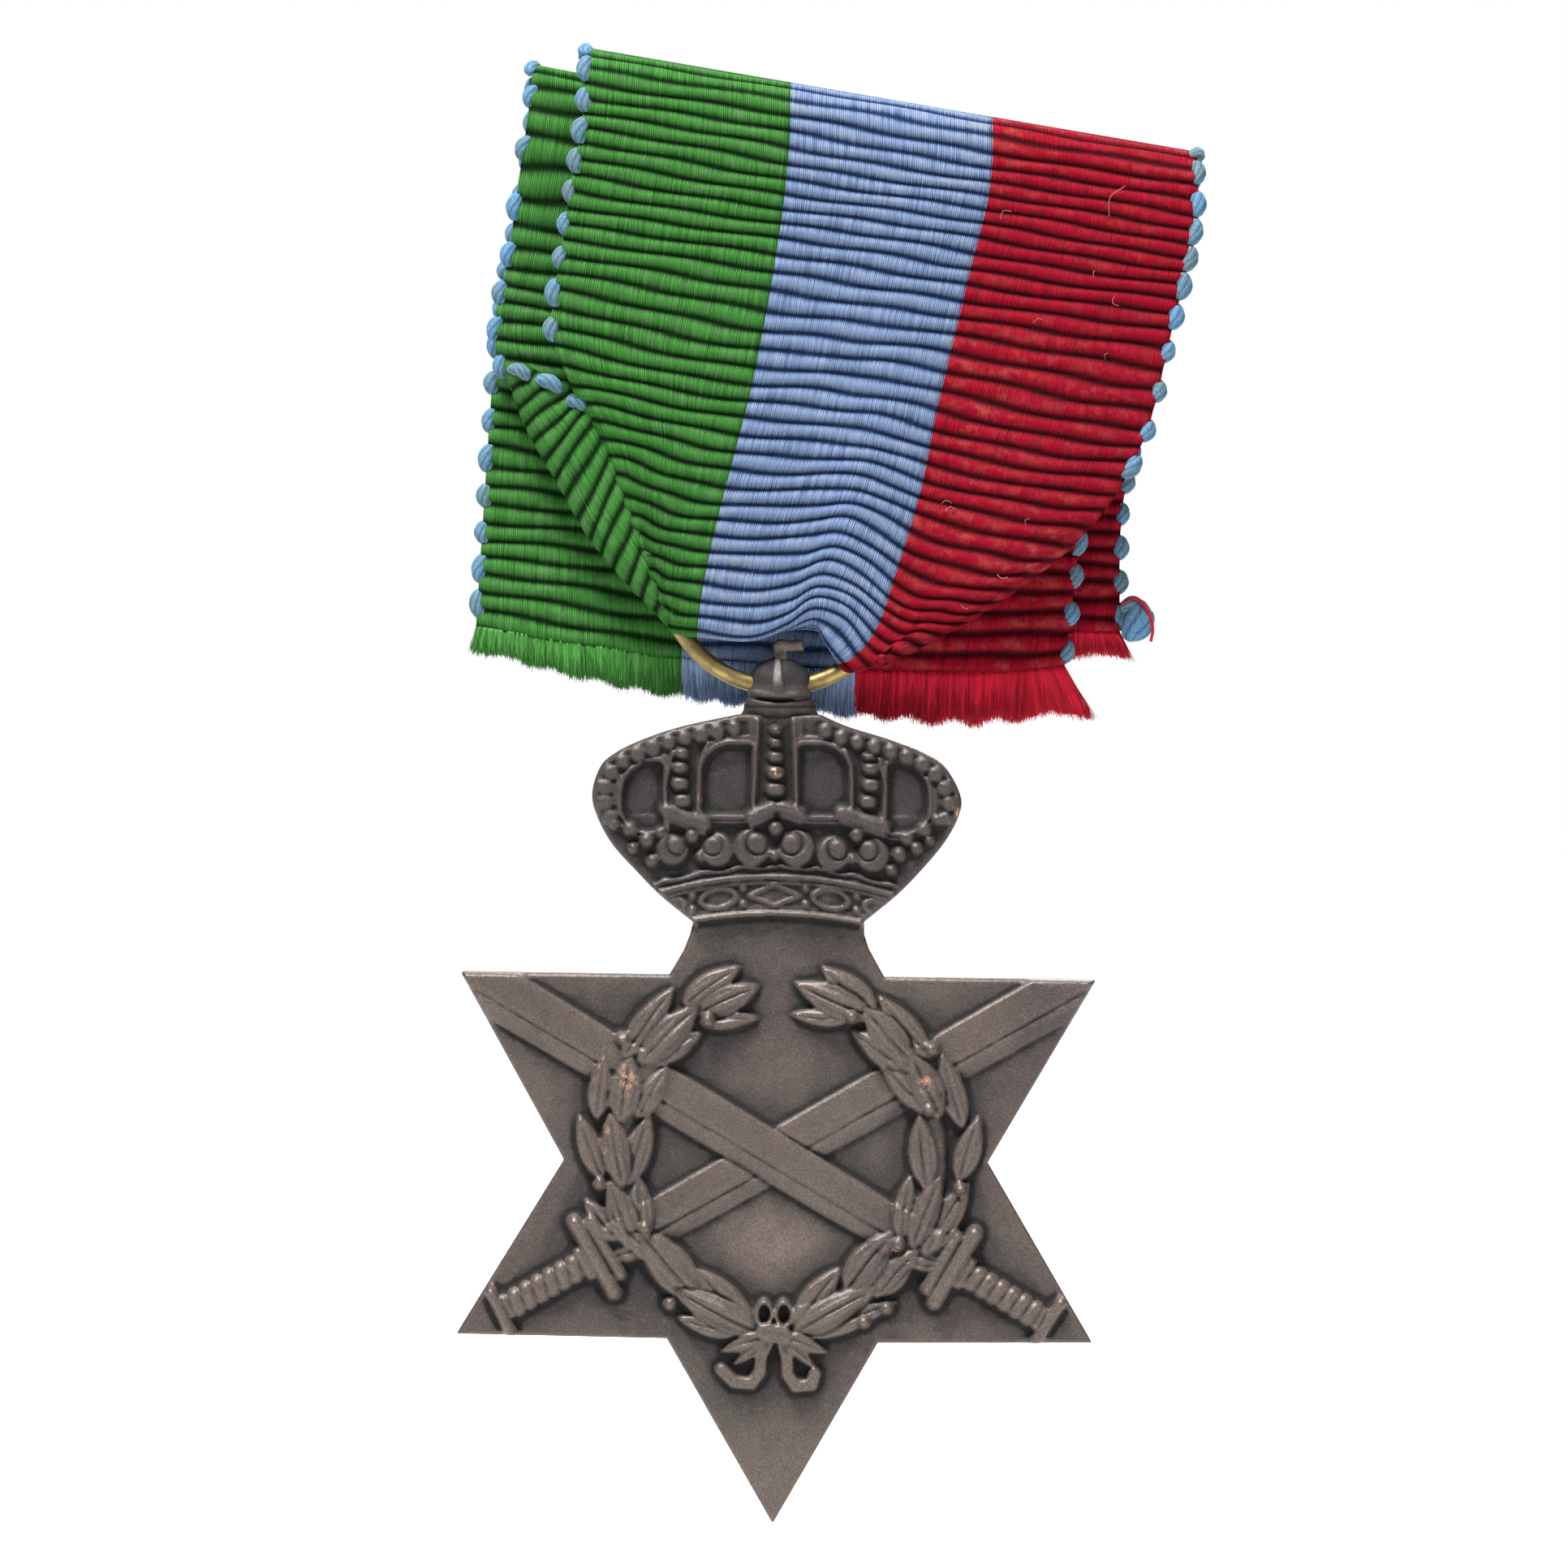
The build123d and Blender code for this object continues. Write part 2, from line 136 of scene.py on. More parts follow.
def smooth(low, high, x):
    """0 at low and 1 at high, with a soft start and end; low may be the larger."""
    t = np.clip((x - low) / (high - low), 0, 1)
    return t * t * (3 - 2 * t)


def curve_through(knots, values, x):
    """Smooth curve through values at knots (cubic Hermite with averaged slopes)."""
    knots = np.asarray(knots, float)
    values = np.asarray(values, float)
    x = np.clip(np.asarray(x, float), knots[0], knots[-1])
    step = np.diff(knots).reshape((-1,) + (1,) * (values.ndim - 1))
    slope = np.diff(values, axis=0) / step
    tangent = np.concatenate([slope[:1], (slope[1:] * step[:-1] + slope[:-1] * step[1:])
                              / (step[1:] + step[:-1]), slope[-1:]])
    i = np.clip(np.searchsorted(knots, x, side="right") - 1, 0, len(knots) - 2)
    shape = (-1,) + (1,) * (values.ndim - 1)
    h = (knots[i + 1] - knots[i]).reshape(shape)
    t = ((x - knots[i]) / (knots[i + 1] - knots[i])).reshape(shape)
    return ((2 * t**3 - 3 * t**2 + 1) * values[i] + (t**3 - 2 * t**2 + t) * h * tangent[i]
            + (3 * t**2 - 2 * t**3) * values[i + 1] + (t**3 - t**2) * h * tangent[i + 1])


# ---------------------------------------------------------------- node helpers

class Nodes:
    """A short way to write a material's node tree."""

    def __init__(self, name):
        self.material = bpy.data.materials.new(name)
        self.material.use_nodes = True
        self.tree = self.material.node_tree
        self.shader = self.tree.nodes["Principled BSDF"]

    def new(self, kind, inputs=None, **settings):
        node = self.tree.nodes.new(kind)
        for key, value in settings.items():
            setattr(node, key, value)
        for key, value in (inputs or {}).items():
            self.put(node.inputs[key], value)
        return node

    def put(self, socket, value):
        if isinstance(value, bpy.types.NodeSocket):
            self.tree.links.new(value, socket)
        else:
            socket.default_value = value

    def math(self, operation, a, b=0.0, clamp=False):
        return self.new("ShaderNodeMath", {0: a, 1: b}, operation=operation,
                        use_clamp=clamp).outputs[0]

    def mix(self, factor, a, b, blend="MIX"):
        node = self.new("ShaderNodeMix", data_type="RGBA", blend_type=blend)
        for index, value in ((0, factor), (6, a), (7, b)):
            self.put(node.inputs[index], value)
        return node.outputs[2]

    def ramp(self, value, *stops):
        node = self.new("ShaderNodeValToRGB", {0: value})
        ramp = node.color_ramp
        while len(ramp.elements) < len(stops):
            ramp.elements.new(1.0)
        for element, (place, colour) in zip(ramp.elements, stops):
            element.position = place
            element.color = colour if len(colour) == 4 else (*colour, 1.0)
        return node.outputs[0]

    def span(self, value, low, high, to_low=0.0, to_high=1.0):
        return self.new("ShaderNodeMapRange", {0: value, 1: low, 2: high, 3: to_low,
                                               4: to_high}).outputs[0]

    def number(self, name):
        return self.new("ShaderNodeAttribute", attribute_name=name).outputs["Fac"]

    def vector(self, name):
        return self.new("ShaderNodeAttribute", attribute_name=name).outputs["Vector"]

    def place(self):
        return self.new("ShaderNodeTexCoord").outputs["Object"]

    def scaled(self, vector, scale):
        return self.new("ShaderNodeMapping", {"Vector": vector, "Scale": scale}).outputs[0]

    def noise(self, vector, scale, detail=4.0, roughness=0.55):
        return self.new("ShaderNodeTexNoise", {"Vector": vector, "Scale": scale,
                                               "Detail": detail,
                                               "Roughness": roughness}).outputs["Fac"]

    def bump(self, *layers):
        """Stacks (height, strength, distance in millimetres) and feeds the shader."""
        normal = None
        for height, strength, distance in layers:
            node = self.new("ShaderNodeBump", {"Height": height, "Strength": strength,
                                               "Distance": distance * MM})
            if normal is not None:
                self.put(node.inputs["Normal"], normal)
            normal = node.outputs[0]
        self.put(self.shader.inputs["Normal"], normal)

    def set(self, **values):
        for key, value in values.items():
            self.put(self.shader.inputs[key.replace("_", " ")], value)


# ---------------------------------------------------------------- materials

def bronze_material():
    """Dark patina: near black in the recesses, browner and smoother where it is rubbed; painted light
    on the field and painted highlights on raised parts.
    """
    m = Nodes("struck_bronze")
    place = m.place()
    wear, bright, halo = m.number("wear"), m.number("bright"), m.number("halo")
    cap, glow = m.number("cap"), m.number("glow")
    cloud = m.noise(place, 230.0, 5.0, 0.65)
    blotch = m.noise(place, 85.0, 4.0)
    hue = m.noise(m.scaled(place, (1.0, 1.0, 1.6)), 130.0, 3.0)
    grain = m.noise(place, 9000.0, 2.0, 0.8)
    speck = m.noise(place, 2600.0, 3.0, 0.75)
    base = m.mix(m.span(cloud, 0.36, 0.64), (0.040, 0.030, 0.030, 1), (0.082, 0.058, 0.048, 1))
    base = m.mix(m.span(blotch, 0.42, 0.62, 0.0, 0.6), base, (0.098, 0.073, 0.060, 1))
    base = m.mix(m.span(hue, 0.44, 0.62, 0.0, 0.45), base, (0.092, 0.082, 0.060, 1))
    # painted highlight: lighter patches on the field below the middle and on the bottom arm
    base = m.mix(m.span(glow, 0.0, 1.0, 0.0, 0.75), base, (0.165, 0.122, 0.099, 1))
    # the field painted darker about the bow's ends
    base = m.mix(m.span(glow, 0.0, -1.0, 0.0, 0.6), base, (0.022, 0.017, 0.016, 1))
    base = m.mix(m.span(cap, 0.0, 1.0, 0.0, 0.85), base, (0.023, 0.017, 0.016, 1))
    base = m.mix(m.span(halo, -0.05, -0.8, 0.0, 0.75), base, (0.012, 0.009, 0.009, 1))
    # lighter where raised: rubbed wear, and painted highlight on the orb's equator and the star's high
    # relief
    high = m.math("MULTIPLY", m.span(wear, 0.0, 0.8), m.span(speck, 0.3, 0.65, 0.35, 1.0))
    high = m.math("MULTIPLY", high, m.span(cap, 0.0, 1.0, 1.0, 0.46))
    base = m.mix(m.math("MULTIPLY", high, 0.58), base, (0.200, 0.155, 0.128, 1))
    base = m.mix(m.span(grain, 0.34, 0.60, 0.55, 0.0), base, (0.018, 0.014, 0.015, 1))
    base = m.mix(m.span(grain, 0.52, 0.80, 0.0, 0.25), base, (0.24, 0.20, 0.175, 1))
    deep = m.span(wear, -0.06, -0.48)
    base = m.mix(m.math("MULTIPLY", deep, 0.97), base, (0.004, 0.003, 0.003, 1))
    green = m.math("MULTIPLY", m.span(m.noise(place, 420.0, 4.0), 0.58, 0.70, 0.0, 0.25), deep)
    base = m.mix(green, base, (0.035, 0.045, 0.028, 1))
    flake = m.math("MULTIPLY", bright, m.span(m.noise(place, 1500.0, 5.0, 0.7), 0.49, 0.60))
    base = m.mix(flake, base, (0.60, 0.33, 0.22, 1))
    rough = m.span(speck, 0.3, 0.7, 0.44, 0.62)
    rough = m.math("ADD", rough, m.math("MULTIPLY", deep, 0.3))
    rough = m.math("SUBTRACT", rough, m.math("MULTIPLY", high, 0.12))
    metal = m.math("MAXIMUM", m.math("MULTIPLY", high, 0.3), flake)
    metal = m.math("ADD", metal, 0.22)
    m.set(Base_Color=base, Roughness=rough, Metallic=metal)
    m.bump((cloud, 0.4, 0.15), (grain, 0.8, 0.025), (speck, 0.5, 0.05))
    return m.material


def brass_material():
    """Dull drawn wire with tarnish patches and rubbed bright stretches."""
    m = Nodes("ring_brass")
    place = m.place()
    patch = m.noise(place, 420.0, 5.0, 0.6)
    streak = m.noise(m.scaled(m.vector("wire"), (2.0, 30.0, 1.0)), 1.0, 4.0)
    fine = m.noise(place, 4200.0, 2.0)
    base = m.ramp(patch, (0.36, (0.040, 0.034, 0.022)), (0.52, (0.20, 0.15, 0.060)),
                  (0.72, (0.42, 0.32, 0.12)))
    base = m.mix(m.span(streak, 0.35, 0.7, 0.0, 0.35), base, (0.50, 0.40, 0.18, 1))
    rough = m.span(patch, 0.35, 0.65, 0.62, 0.40)
    m.set(Base_Color=base, Metallic=m.span(patch, 0.3, 0.5, 0.55, 1.0), Roughness=rough)
    m.bump((streak, 0.3, 0.03), (fine, 0.3, 0.012), (patch, 0.3, 0.05))
    return m.material


THREAD = 0.135             # width of one warp thread


def cloth_material(name, valley, middle, light, worn, worn_share):
    """Silk-like warp over thick weft: fine threads along the ribbon, with painted shade between ribs
    and in the gaps between threads.
    """
    m = Nodes(name)
    cloth = m.vector("cloth")      # across and along the ribbon in mm, then how high the rib is
    split = m.new("ShaderNodeSeparateXYZ", {0: cloth})
    across, along, rib = split.outputs
    flat = m.new("ShaderNodeCombineXYZ", {0: across, 1: along}).outputs[0]
    threads = m.new("ShaderNodeTexNoise", {"Vector": m.scaled(flat, (1 / THREAD, 0.32, 1)),
                                           "Scale": 1.0, "Detail": 1.0}).outputs["Fac"]
    wave = m.math("SINE", m.math("MULTIPLY", across, 2 * math.pi / THREAD))
    ply = m.math("MULTIPLY_ADD", wave, 0.5)
    m.put(ply.node.inputs[2], 0.5)
    hair = m.noise(m.scaled(flat, (16.0, 2.2, 1)), 1.0, 2.0, 0.7)
    tone = m.math("ADD", m.math("MULTIPLY", threads, 0.9), m.math("MULTIPLY", hair, 0.5))
    colour = m.mix(m.span(tone, 0.42, 0.95), middle, light)
    # painted shade in the gaps between threads
    colour = m.mix(m.span(ply, 0.45, 0.0, 0.0, 0.55), colour, valley)
    shade = m.math("ADD", rib, m.math("MULTIPLY", threads, 0.42))
    shade = m.math("ADD", shade, m.math("MULTIPLY", ply, 0.16))
    # rib valleys painted dark: partly the threads diving under the weft, partly painted shade
    colour = m.mix(m.span(shade, 1.16, 0.60), colour, valley)
    place = m.place()
    spots = m.noise(place, 900.0, 3.0, 0.7)
    patches = m.noise(place, 110.0, 3.0)
    dust = m.math("MULTIPLY", m.span(spots, 0.46, 0.64), m.span(patches, 0.38, 0.62, 0.15, 1.0))
    dust = m.math("MULTIPLY", dust, m.span(rib, 0.55, 0.95))
    colour = m.mix(m.math("MULTIPLY", dust, worn_share), colour, worn)
    m.set(Base_Color=colour, Roughness=m.span(threads, 0.3, 0.7, 0.62, 0.78),
          Sheen_Weight=0.06, Sheen_Roughness=0.4, Sheen_Tint=light, Specular_IOR_Level=0.07)
    m.bump((ply, 0.8, 0.035), (threads, 0.6, 0.05), (hair, 0.5, 0.03))
    return m.material


def yarn_material():
    """Blue weft cord: twisted strands, greyed where it has been handled, with painted shade in the
    grooves between strands.
    """
    m = Nodes("picot_blue")
    twist = m.number("twist")
    place = m.place()
    soil = m.noise(place, 260.0, 3.0)
    fibre = m.noise(place, 5200.0, 3.0, 0.7)
    colour = m.mix(m.span(soil, 0.38, 0.62), (0.062, 0.175, 0.31, 1), (0.078, 0.135, 0.155, 1))
    colour = m.mix(m.span(fibre, 0.45, 0.75, 0.0, 0.5), colour, (0.22, 0.32, 0.40, 1))
    # painted shade in the spiral grooves between the strands
    colour = m.mix(m.span(twist, 0.40, 0.0, 0.0, 0.85), colour, (0.012, 0.032, 0.062, 1))
    m.set(Base_Color=colour, Roughness=0.75, Sheen_Weight=0.08, Specular_IOR_Level=0.2)
    m.bump((fibre, 0.6, 0.04))
    return m.material


def thread_material(name, dark, light):
    """Loose warp filaments of a frayed end."""
    m = Nodes(name)
    tone = m.number("tone")
    fibre = m.noise(m.place(), 3500.0, 2.0)
    colour = m.mix(m.math("ADD", m.math("MULTIPLY", tone, 0.75),
                          m.math("MULTIPLY", fibre, 0.25)), dark, light)
    m.set(Base_Color=colour, Roughness=m.span(fibre, 0.3, 0.7, 0.55, 0.7),
          Sheen_Weight=0.06, Specular_IOR_Level=0.15)
    m.bump((fibre, 0.4, 0.02))
    return m.material


# ---------------------------------------------------------------- the struck medal
# Drawn on a flat grid: u to the right and v up from the star's centre, height towards
# the viewer from the sunk field.

GRID = 0.112
STAR_CORNERS = [  # from the bottom point round the right side to the neck, and back on the left
    (-0.1, -23.0), (6.5, -11.5), (20.1, -11.4), (13.4, 0.0), (20.15, 11.6), (6.75, 11.7)]
LEFT_CORNERS = [(-6.9, 11.75), (-20.1, 11.85), (-13.5, 0.0), (-20.25, -11.1), (-6.9, -11.3)]
RIGHT_NECK = [(6.25, 12.6), (5.75, 13.5), (5.45, 14.4)]
LEFT_NECK = [(-5.6, 14.3), (-5.95, 13.4), (-6.4, 12.6)]
RIGHT_CROWN = [(5.45, 15.2), (7.5, 16.9), (9.05, 18.5), (10.45, 20.2), (11.35, 21.85), (11.5, 23.2),
               (10.5, 25.05), (9.1, 25.95), (7.0, 26.75), (4.35, 27.55), (2.6, CROWN_TOP)]
LEFT_CROWN = [(-2.6, CROWN_TOP), (-6.2, 27.5), (-8.7, 26.65), (-10.4, 25.8), (-11.35, 24.9),
              (-11.85, 23.2), (-11.5, 21.7), (-10.55, 20.0), (-9.1, 18.4), (-7.45, 16.75), (-5.4, 15.1)]


def crown_curve(points, count):
    points = np.array(points)
    return curve_through(np.arange(len(points)), points, np.linspace(0, len(points) - 1, count))


def medal_outline():
    """Closed outline, counter-clockwise from the lowest point."""
    return np.array(STAR_CORNERS + RIGHT_NECK + crown_curve(RIGHT_CROWN, 60).tolist()
                    + crown_curve(LEFT_CROWN, 60).tolist() + LEFT_NECK + LEFT_CORNERS)


def distance_to(outline, u, v):
    """Signed distance to a closed outline, negative inside."""
    best = np.full(u.shape, 1e9)
    inside = np.zeros(u.shape, bool)
    for (x0, y0), (x1, y1) in zip(outline, np.roll(outline, -1, axis=0)):
        dx, dy = x1 - x0, y1 - y0
        t = np.clip(((u - x0) * dx + (v - y0) * dy) / (dx * dx + dy * dy + 1e-12), 0, 1)
        best = np.minimum(best, (u - x0 - t * dx) ** 2 + (v - y0 - t * dy) ** 2)
        if y0 != y1:
            crosses = (y0 > v) != (y1 > v)
            inside ^= crosses & (u < (v - y0) * dx / dy + x0)
    return np.where(inside, -1, 1) * np.sqrt(best)


def along_line(u, v, start, end):
    """Distance along a line from its start, distance beside it, and the line's length."""
    (x0, y0), (x1, y1) = start, end
    length = math.hypot(x1 - x0, y1 - y0)
    cx, cy = (x1 - x0) / length, (y1 - y0) / length
    return (u - x0) * cx + (v - y0) * cy, -(u - x0) * cy + (v - y0) * cx, length


def rod(u, v, start, end, radius, height):
    """A bar with round ends and a round top."""
    s, t, length = along_line(u, v, start, end)
    reach = np.hypot(s - np.clip(s, 0, length), t) / radius
    return height * np.sqrt(np.clip(1 - reach**2, 0, 1))


def ball(u, v, x, y, radius, height):
    return rod(u, v, (x, y), (x + 1e-4, y), radius, height)


def leaf_shape(u, v, x0, y0, x1, y1, width):
    """Where a leaf lies, and its height: rounded blade, sunk midrib and a stroke each side."""
    s, t, length = along_line(u, v, (x0, y0), (x1, y1))
    a = np.clip(s / length, 0, 1)
    half = 0.5 * width * np.sin(np.pi * np.clip(a, 0.03, 0.995) ** 0.82) ** 0.70 + 1e-3
    across = t / half
    inside = (s > 0) & (s < length) & (np.abs(across) < 1)
    body = np.sqrt(np.clip(1 - across**2, 0, 1))
    rise = 0.36 + 0.26 * np.sin(np.pi * a**0.8)
    vein = smooth(0.0, 0.15, a) * smooth(1.0, 0.75, a)
    midrib = 0.27 * np.exp(-((t - 0.10 * np.sin(3 * a)) / 0.085) ** 2) * vein
    strokes = 0.13 * np.exp(-((np.abs(across) - 0.5 - 0.1 * a) * half / 0.075) ** 2) \
        * smooth(0.12, 0.3, a) * smooth(0.85, 0.55, a)
    return inside, rise * (0.38 + 0.62 * body) + 0.07 * across - midrib - strokes


def leaf(u, v, x0, y0, x1, y1, width, lift=0.0):
    inside, height = leaf_shape(u, v, x0, y0, x1, y1, width)
    return np.where(inside, height + lift, -1)


def round_box(u, v, centre, half, outer_top, outer_bottom, inner, side):
    """Signed distance to a box whose outer corners are rounder than its inner ones."""
    x, y = (u - centre[0]) * side, v - centre[1]
    r = np.where(x > 0, np.where(y > 0, outer_top, outer_bottom), inner)
    qx, qy = np.abs(x) - half[0] + r, np.abs(y) - half[1] + r
    return (np.minimum(np.maximum(qx, qy), 0)
            + np.hypot(np.maximum(qx, 0), np.maximum(qy, 0)) - r)


def ridge(distance, width):
    """A raised cord of the given width centred where distance is zero."""
    return np.sqrt(np.clip(1 - (2 * distance / width) ** 2, 0, 1))


BLADE_HALF = 1.42
SWORDS = {  # pommel end, tip end, of the line through each sword
    "under": ((-17.5, -9.6), (19.3, 11.45)),
    "over": ((17.3, -10.1), (-19.3, 11.5)),
}


def blade(u, v, line, height):
    """Flat blade with an off-centre ridge and a fine groove along it."""
    s, t, length = along_line(u, v, *line)
    t = t if line[1][0] > 0 else -t
    half = BLADE_HALF + 0.008 * s
    ridge_at = -0.33 * half
    low_side = 0.25 * np.clip((ridge_at - t) / (half + ridge_at), 0, 1)
    high_side = 0.09 * np.clip((t - ridge_at) / (half - ridge_at), 0, 1)
    groove = 0.16 * np.exp(-((t - ridge_at) / 0.12) ** 2)
    groove = groove + 0.035 * np.exp(-((t - 0.8 * half) / 0.06) ** 2)
    groove = groove + 0.012 * np.sin(9 * t + np.sin(0.8 * s)) * np.sin(0.35 * s + 7 * t)
    edge = smooth(half + 0.04, half - 0.10, np.abs(t))
    body = height - low_side - high_side - groove
    return np.where((s > 7) & (s < length + 3), body * edge, 0)


def hilt(u, v, line):
    """Wound grip, double guard, pommel bar and the two languets on the blade."""
    s, t, length = along_line(u, v, *line)
    (x0, y0), (x1, y1) = line
    dx, dy = (x1 - x0) / length, (y1 - y0) / length

    def spot(along, across):
        return (x0 + dx * along - dy * across, y0 + dy * along + dx * across)

    turn = np.mod((s - 0.14 * t) / 0.84, 1.0)
    winding = 1 - np.exp(-(np.minimum(turn, 1 - turn) / 0.13) ** 2)
    grip_half = 0.95 - 0.12 * (1 - winding)
    grip = (0.38 + 0.20 * winding) * np.clip(1 - (t / grip_half) ** 4, 0, 1) ** 0.5
    grip = np.where((s > 0.5) & (s < 6.5), grip, 0)
    parts = [grip, rod(u, v, spot(6.95, -2.45), spot(6.95, 2.55), 0.60, 0.78),
             rod(u, v, spot(7.85, -1.7), spot(7.75, 2.1), 0.50, 0.70),
             rod(u, v, spot(6.2, -0.85), spot(6.2, 0.85), 0.38, 0.60),
             rod(u, v, spot(0.0, -1.5), spot(0.15, 1.3), 0.45, 0.62),
             leaf(u, v, *spot(7.8, 0.5), *spot(10.4, 1.3), 1.1),
             leaf(u, v, *spot(7.8, -0.5), *spot(10.4, -1.3), 1.1)]
    return np.maximum.reduce(parts)


# Sprays of laurel from the bow up: base, tip and width of each leaf, the top leaf last.
LEFT_SPRAYS = [
    [(-2.3, -10.9, -6.2, -9.9, 1.4), (-1.5, -10.6, -5.0, -6.8, 2.1), (-1.1, -10.8, -6.6, -8.0, 2.2)],
    [(-7.6, -6.2, -9.3, -4.4, 1.6), (-5.0, -8.6, -8.6, -4.4, 2.7)],
    [(-10.0, -5.0, -12.1, -2.5, 1.6), (-8.4, -4.9, -8.7, -0.9, 1.6), (-8.9, -5.6, -10.6, -1.2, 2.1)],
    [(-11.0, -1.2, -12.5, 2.8, 1.7), (-9.4, -1.5, -8.0, 3.0, 1.8), (-9.7, -1.6, -10.6, 3.1, 2.0)],
    [(-11.4, 2.6, -10.9, 6.6, 1.6), (-8.8, 2.7, -6.9, 6.0, 1.5), (-9.9, 2.5, -9.2, 6.6, 2.2)],
    [(-9.7, 6.6, -6.6, 10.9, 1.9), (-8.1, 6.2, -4.8, 8.1, 1.6), (-8.7, 6.2, -4.9, 9.9, 2.2)],
    [(-6.0, 9.9, -2.4, 12.3, 1.8), (-5.0, 8.7, -1.2, 9.1, 1.2), (-5.2, 9.3, -1.2, 11.1, 2.0)],
]
RIGHT_SPRAYS = [
    [(2.0, -11.1, 7.7, -8.8, 1.5), (1.2, -10.5, 4.1, -6.7, 2.0), (1.1, -10.8, 6.5, -7.9, 2.2)],
    [(6.3, -8.5, 9.0, -5.5, 1.8), (4.4, -8.2, 7.4, -4.4, 2.4)],
    [(9.4, -5.8, 12.2, -1.2, 2.0), (7.9, -4.8, 8.5, -0.8, 1.6), (8.6, -5.3, 10.4, -0.9, 2.0)],
    [(11.5, -1.2, 12.8, 2.9, 1.7), (9.5, -1.7, 9.0, 3.1, 1.9)],
    [(11.8, 2.2, 10.4, 6.9, 1.7), (9.8, 3.2, 6.7, 6.1, 1.7), (10.4, 2.9, 8.5, 7.0, 2.2)],
    [(9.7, 6.7, 6.4, 10.5, 1.7), (8.4, 5.6, 4.7, 8.4, 1.7), (8.5, 6.4, 5.4, 9.9, 2.2)],
    [(6.3, 9.5, 2.8, 12.3, 1.9), (4.7, 9.1, 0.9, 9.3, 1.3), (6.0, 9.2, 1.1, 11.3, 2.2)],
]
BERRIES = [(-8.3, -4.2), (-11.2, -1.5), (-9.8, 7.8), (-4.4, 8.9), (-6.7, -9.0), (4.7, 9.2),
           (9.8, 7.2), (9.6, 3.4), (11.6, -1.6), (7.7, -5.1), (7.0, -9.2), (5.6, -10.1)]
BERRY_RADIUS = 0.46
RUBBED = [(-9.5, 5.1, 0.85, 1.3), (-10.9, 0.8, 0.25, 0.9), (-10.8, 2.0, 0.3, 0.5),
          (9.3, 5.0, 0.6, 0.8), (7.6, -5.6, 0.4, 0.5), (11.3, 22.3, 0.4, 0.7),
          (-5.0, 23.3, 0.25, 0.7), (-0.2, 24.6, 0.5, 0.4), (16.9, 7.6, 0.35, 0.35)]


def laid_over(height, inside, top):
    """Relief laid on what is below it; its foot sinks a little into that."""
    return np.where(inside, 0.45 * np.clip(height, 0, 0.5) + top, height)


def add_wreath(height, u, v):
    """Stem, leaves and berries over the swords; each spray covers the one above it."""
    angle = np.degrees(np.arctan2(u, -v))
    stem = 0.34 * ridge(np.hypot(u, v) - 10.0, 1.7) * smooth(4, 10, np.abs(angle)) \
        * smooth(150, 140, np.abs(angle))
    height = np.maximum(height, stem + 0.3 * height)
    swords = height.copy()
    for sprays in (LEFT_SPRAYS, RIGHT_SPRAYS):
        for spray in reversed(sprays):
            for blade_of_leaf in spray:
                inside, top = leaf_shape(u, v, *blade_of_leaf)
                height = np.where(inside, 0.45 * np.clip(swords, 0, 0.5) + top, height)
    for x, y in BERRIES:
        inside = np.hypot(u - x, v - y) < BERRY_RADIUS
        height = laid_over(height, inside, 0.22 + ball(u, v, x, y, BERRY_RADIUS, 0.5))
    return height


def ribbon_end(u, v, points, width, height):
    """A flat band through points, with raised edges."""
    best = np.full(u.shape, -1.0)
    for start, end in zip(points, points[1:]):
        s, t, length = along_line(u, v, start, end)
        reach = np.hypot(s - np.clip(s, 0, length), t) / (width / 2)
        best = np.maximum(best, np.where(reach < 1, height * (0.72 + 0.28 * reach**2)
                                         * smooth(1.0, 0.8, reach), -1))
    return best


def bow(u, v):
    """Two upright loops, two loops to the sides, two hanging ends and the knot."""
    parts = []
    for side in (-1, 1):
        x = u * side + 0.1 * side
        loop = np.hypot((x - 0.62) / 0.58, (v + 9.65) / 0.95)
        parts.append(np.where(v < -9.2, 0.55, 0.62) * ridge(loop - 0.82, 0.5))
        parts.append(leaf(x, v, 0.2, -11.0, 3.35, -12.05, 1.15, 0.05))
    parts.append(ribbon_end(u, v, [(-0.4, -11.3), (-0.9, -12.3), (-0.95, -13.3), (-1.5, -14.05),
                                   (-2.6, -13.95), (-3.4, -13.2)], 0.85, 0.6))
    parts.append(ribbon_end(u, v, [(0.4, -11.3), (0.75, -12.5), (0.8, -13.5), (1.3, -14.2),
                                   (2.3, -14.1), (2.5, -13.4)], 0.85, 0.6))
    parts.append(leaf(u, v, 0.4, -11.2, 2.6, -13.1, 0.8))
    parts.append(leaf(u, v, -0.4, -11.2, -2.7, -12.9, 0.8))
    parts.append(ribbon_end(u, v, [(-0.6, -10.75), (0.45, -10.95)], 1.25, 0.82))
    return np.maximum.reduce(parts)


CROWN_SHIFT = -0.25        # the crown's middle beside the star's
CAP_LEVEL, BAND_LEVEL, WINDOW_LEVEL = 0.36, 0.24, 0.02
WINDOWS = [  # centre, half size, corner radii: outer top, outer bottom, inner
    ((3.06, 24.15), (1.56, 2.20), 1.8, 0.5, 0.25), ((8.40, 23.1), (1.25, 2.15), 2.0, 1.5, 0.3)]
ARCH_SIDES = [  # heights, and distance from the crown's middle at those heights
    ((22.0, 24.6, 28.0), (1.44, 1.28, 1.12)), ((22.0, 22.6, 25.1, 26.9), (4.90, 4.88, 4.82, 4.1)),
    ((20.9, 23.7, 26.4), (6.75, 7.00, 6.40))]
CENTRE_BEADS = [(27.3, 0.40, 0.30), (26.5, 0.43, 0.34), (25.62, 0.52, 0.40), (24.62, 0.62, 0.47),
                (23.55, 0.68, 0.49)]     # height, half width, half tallness
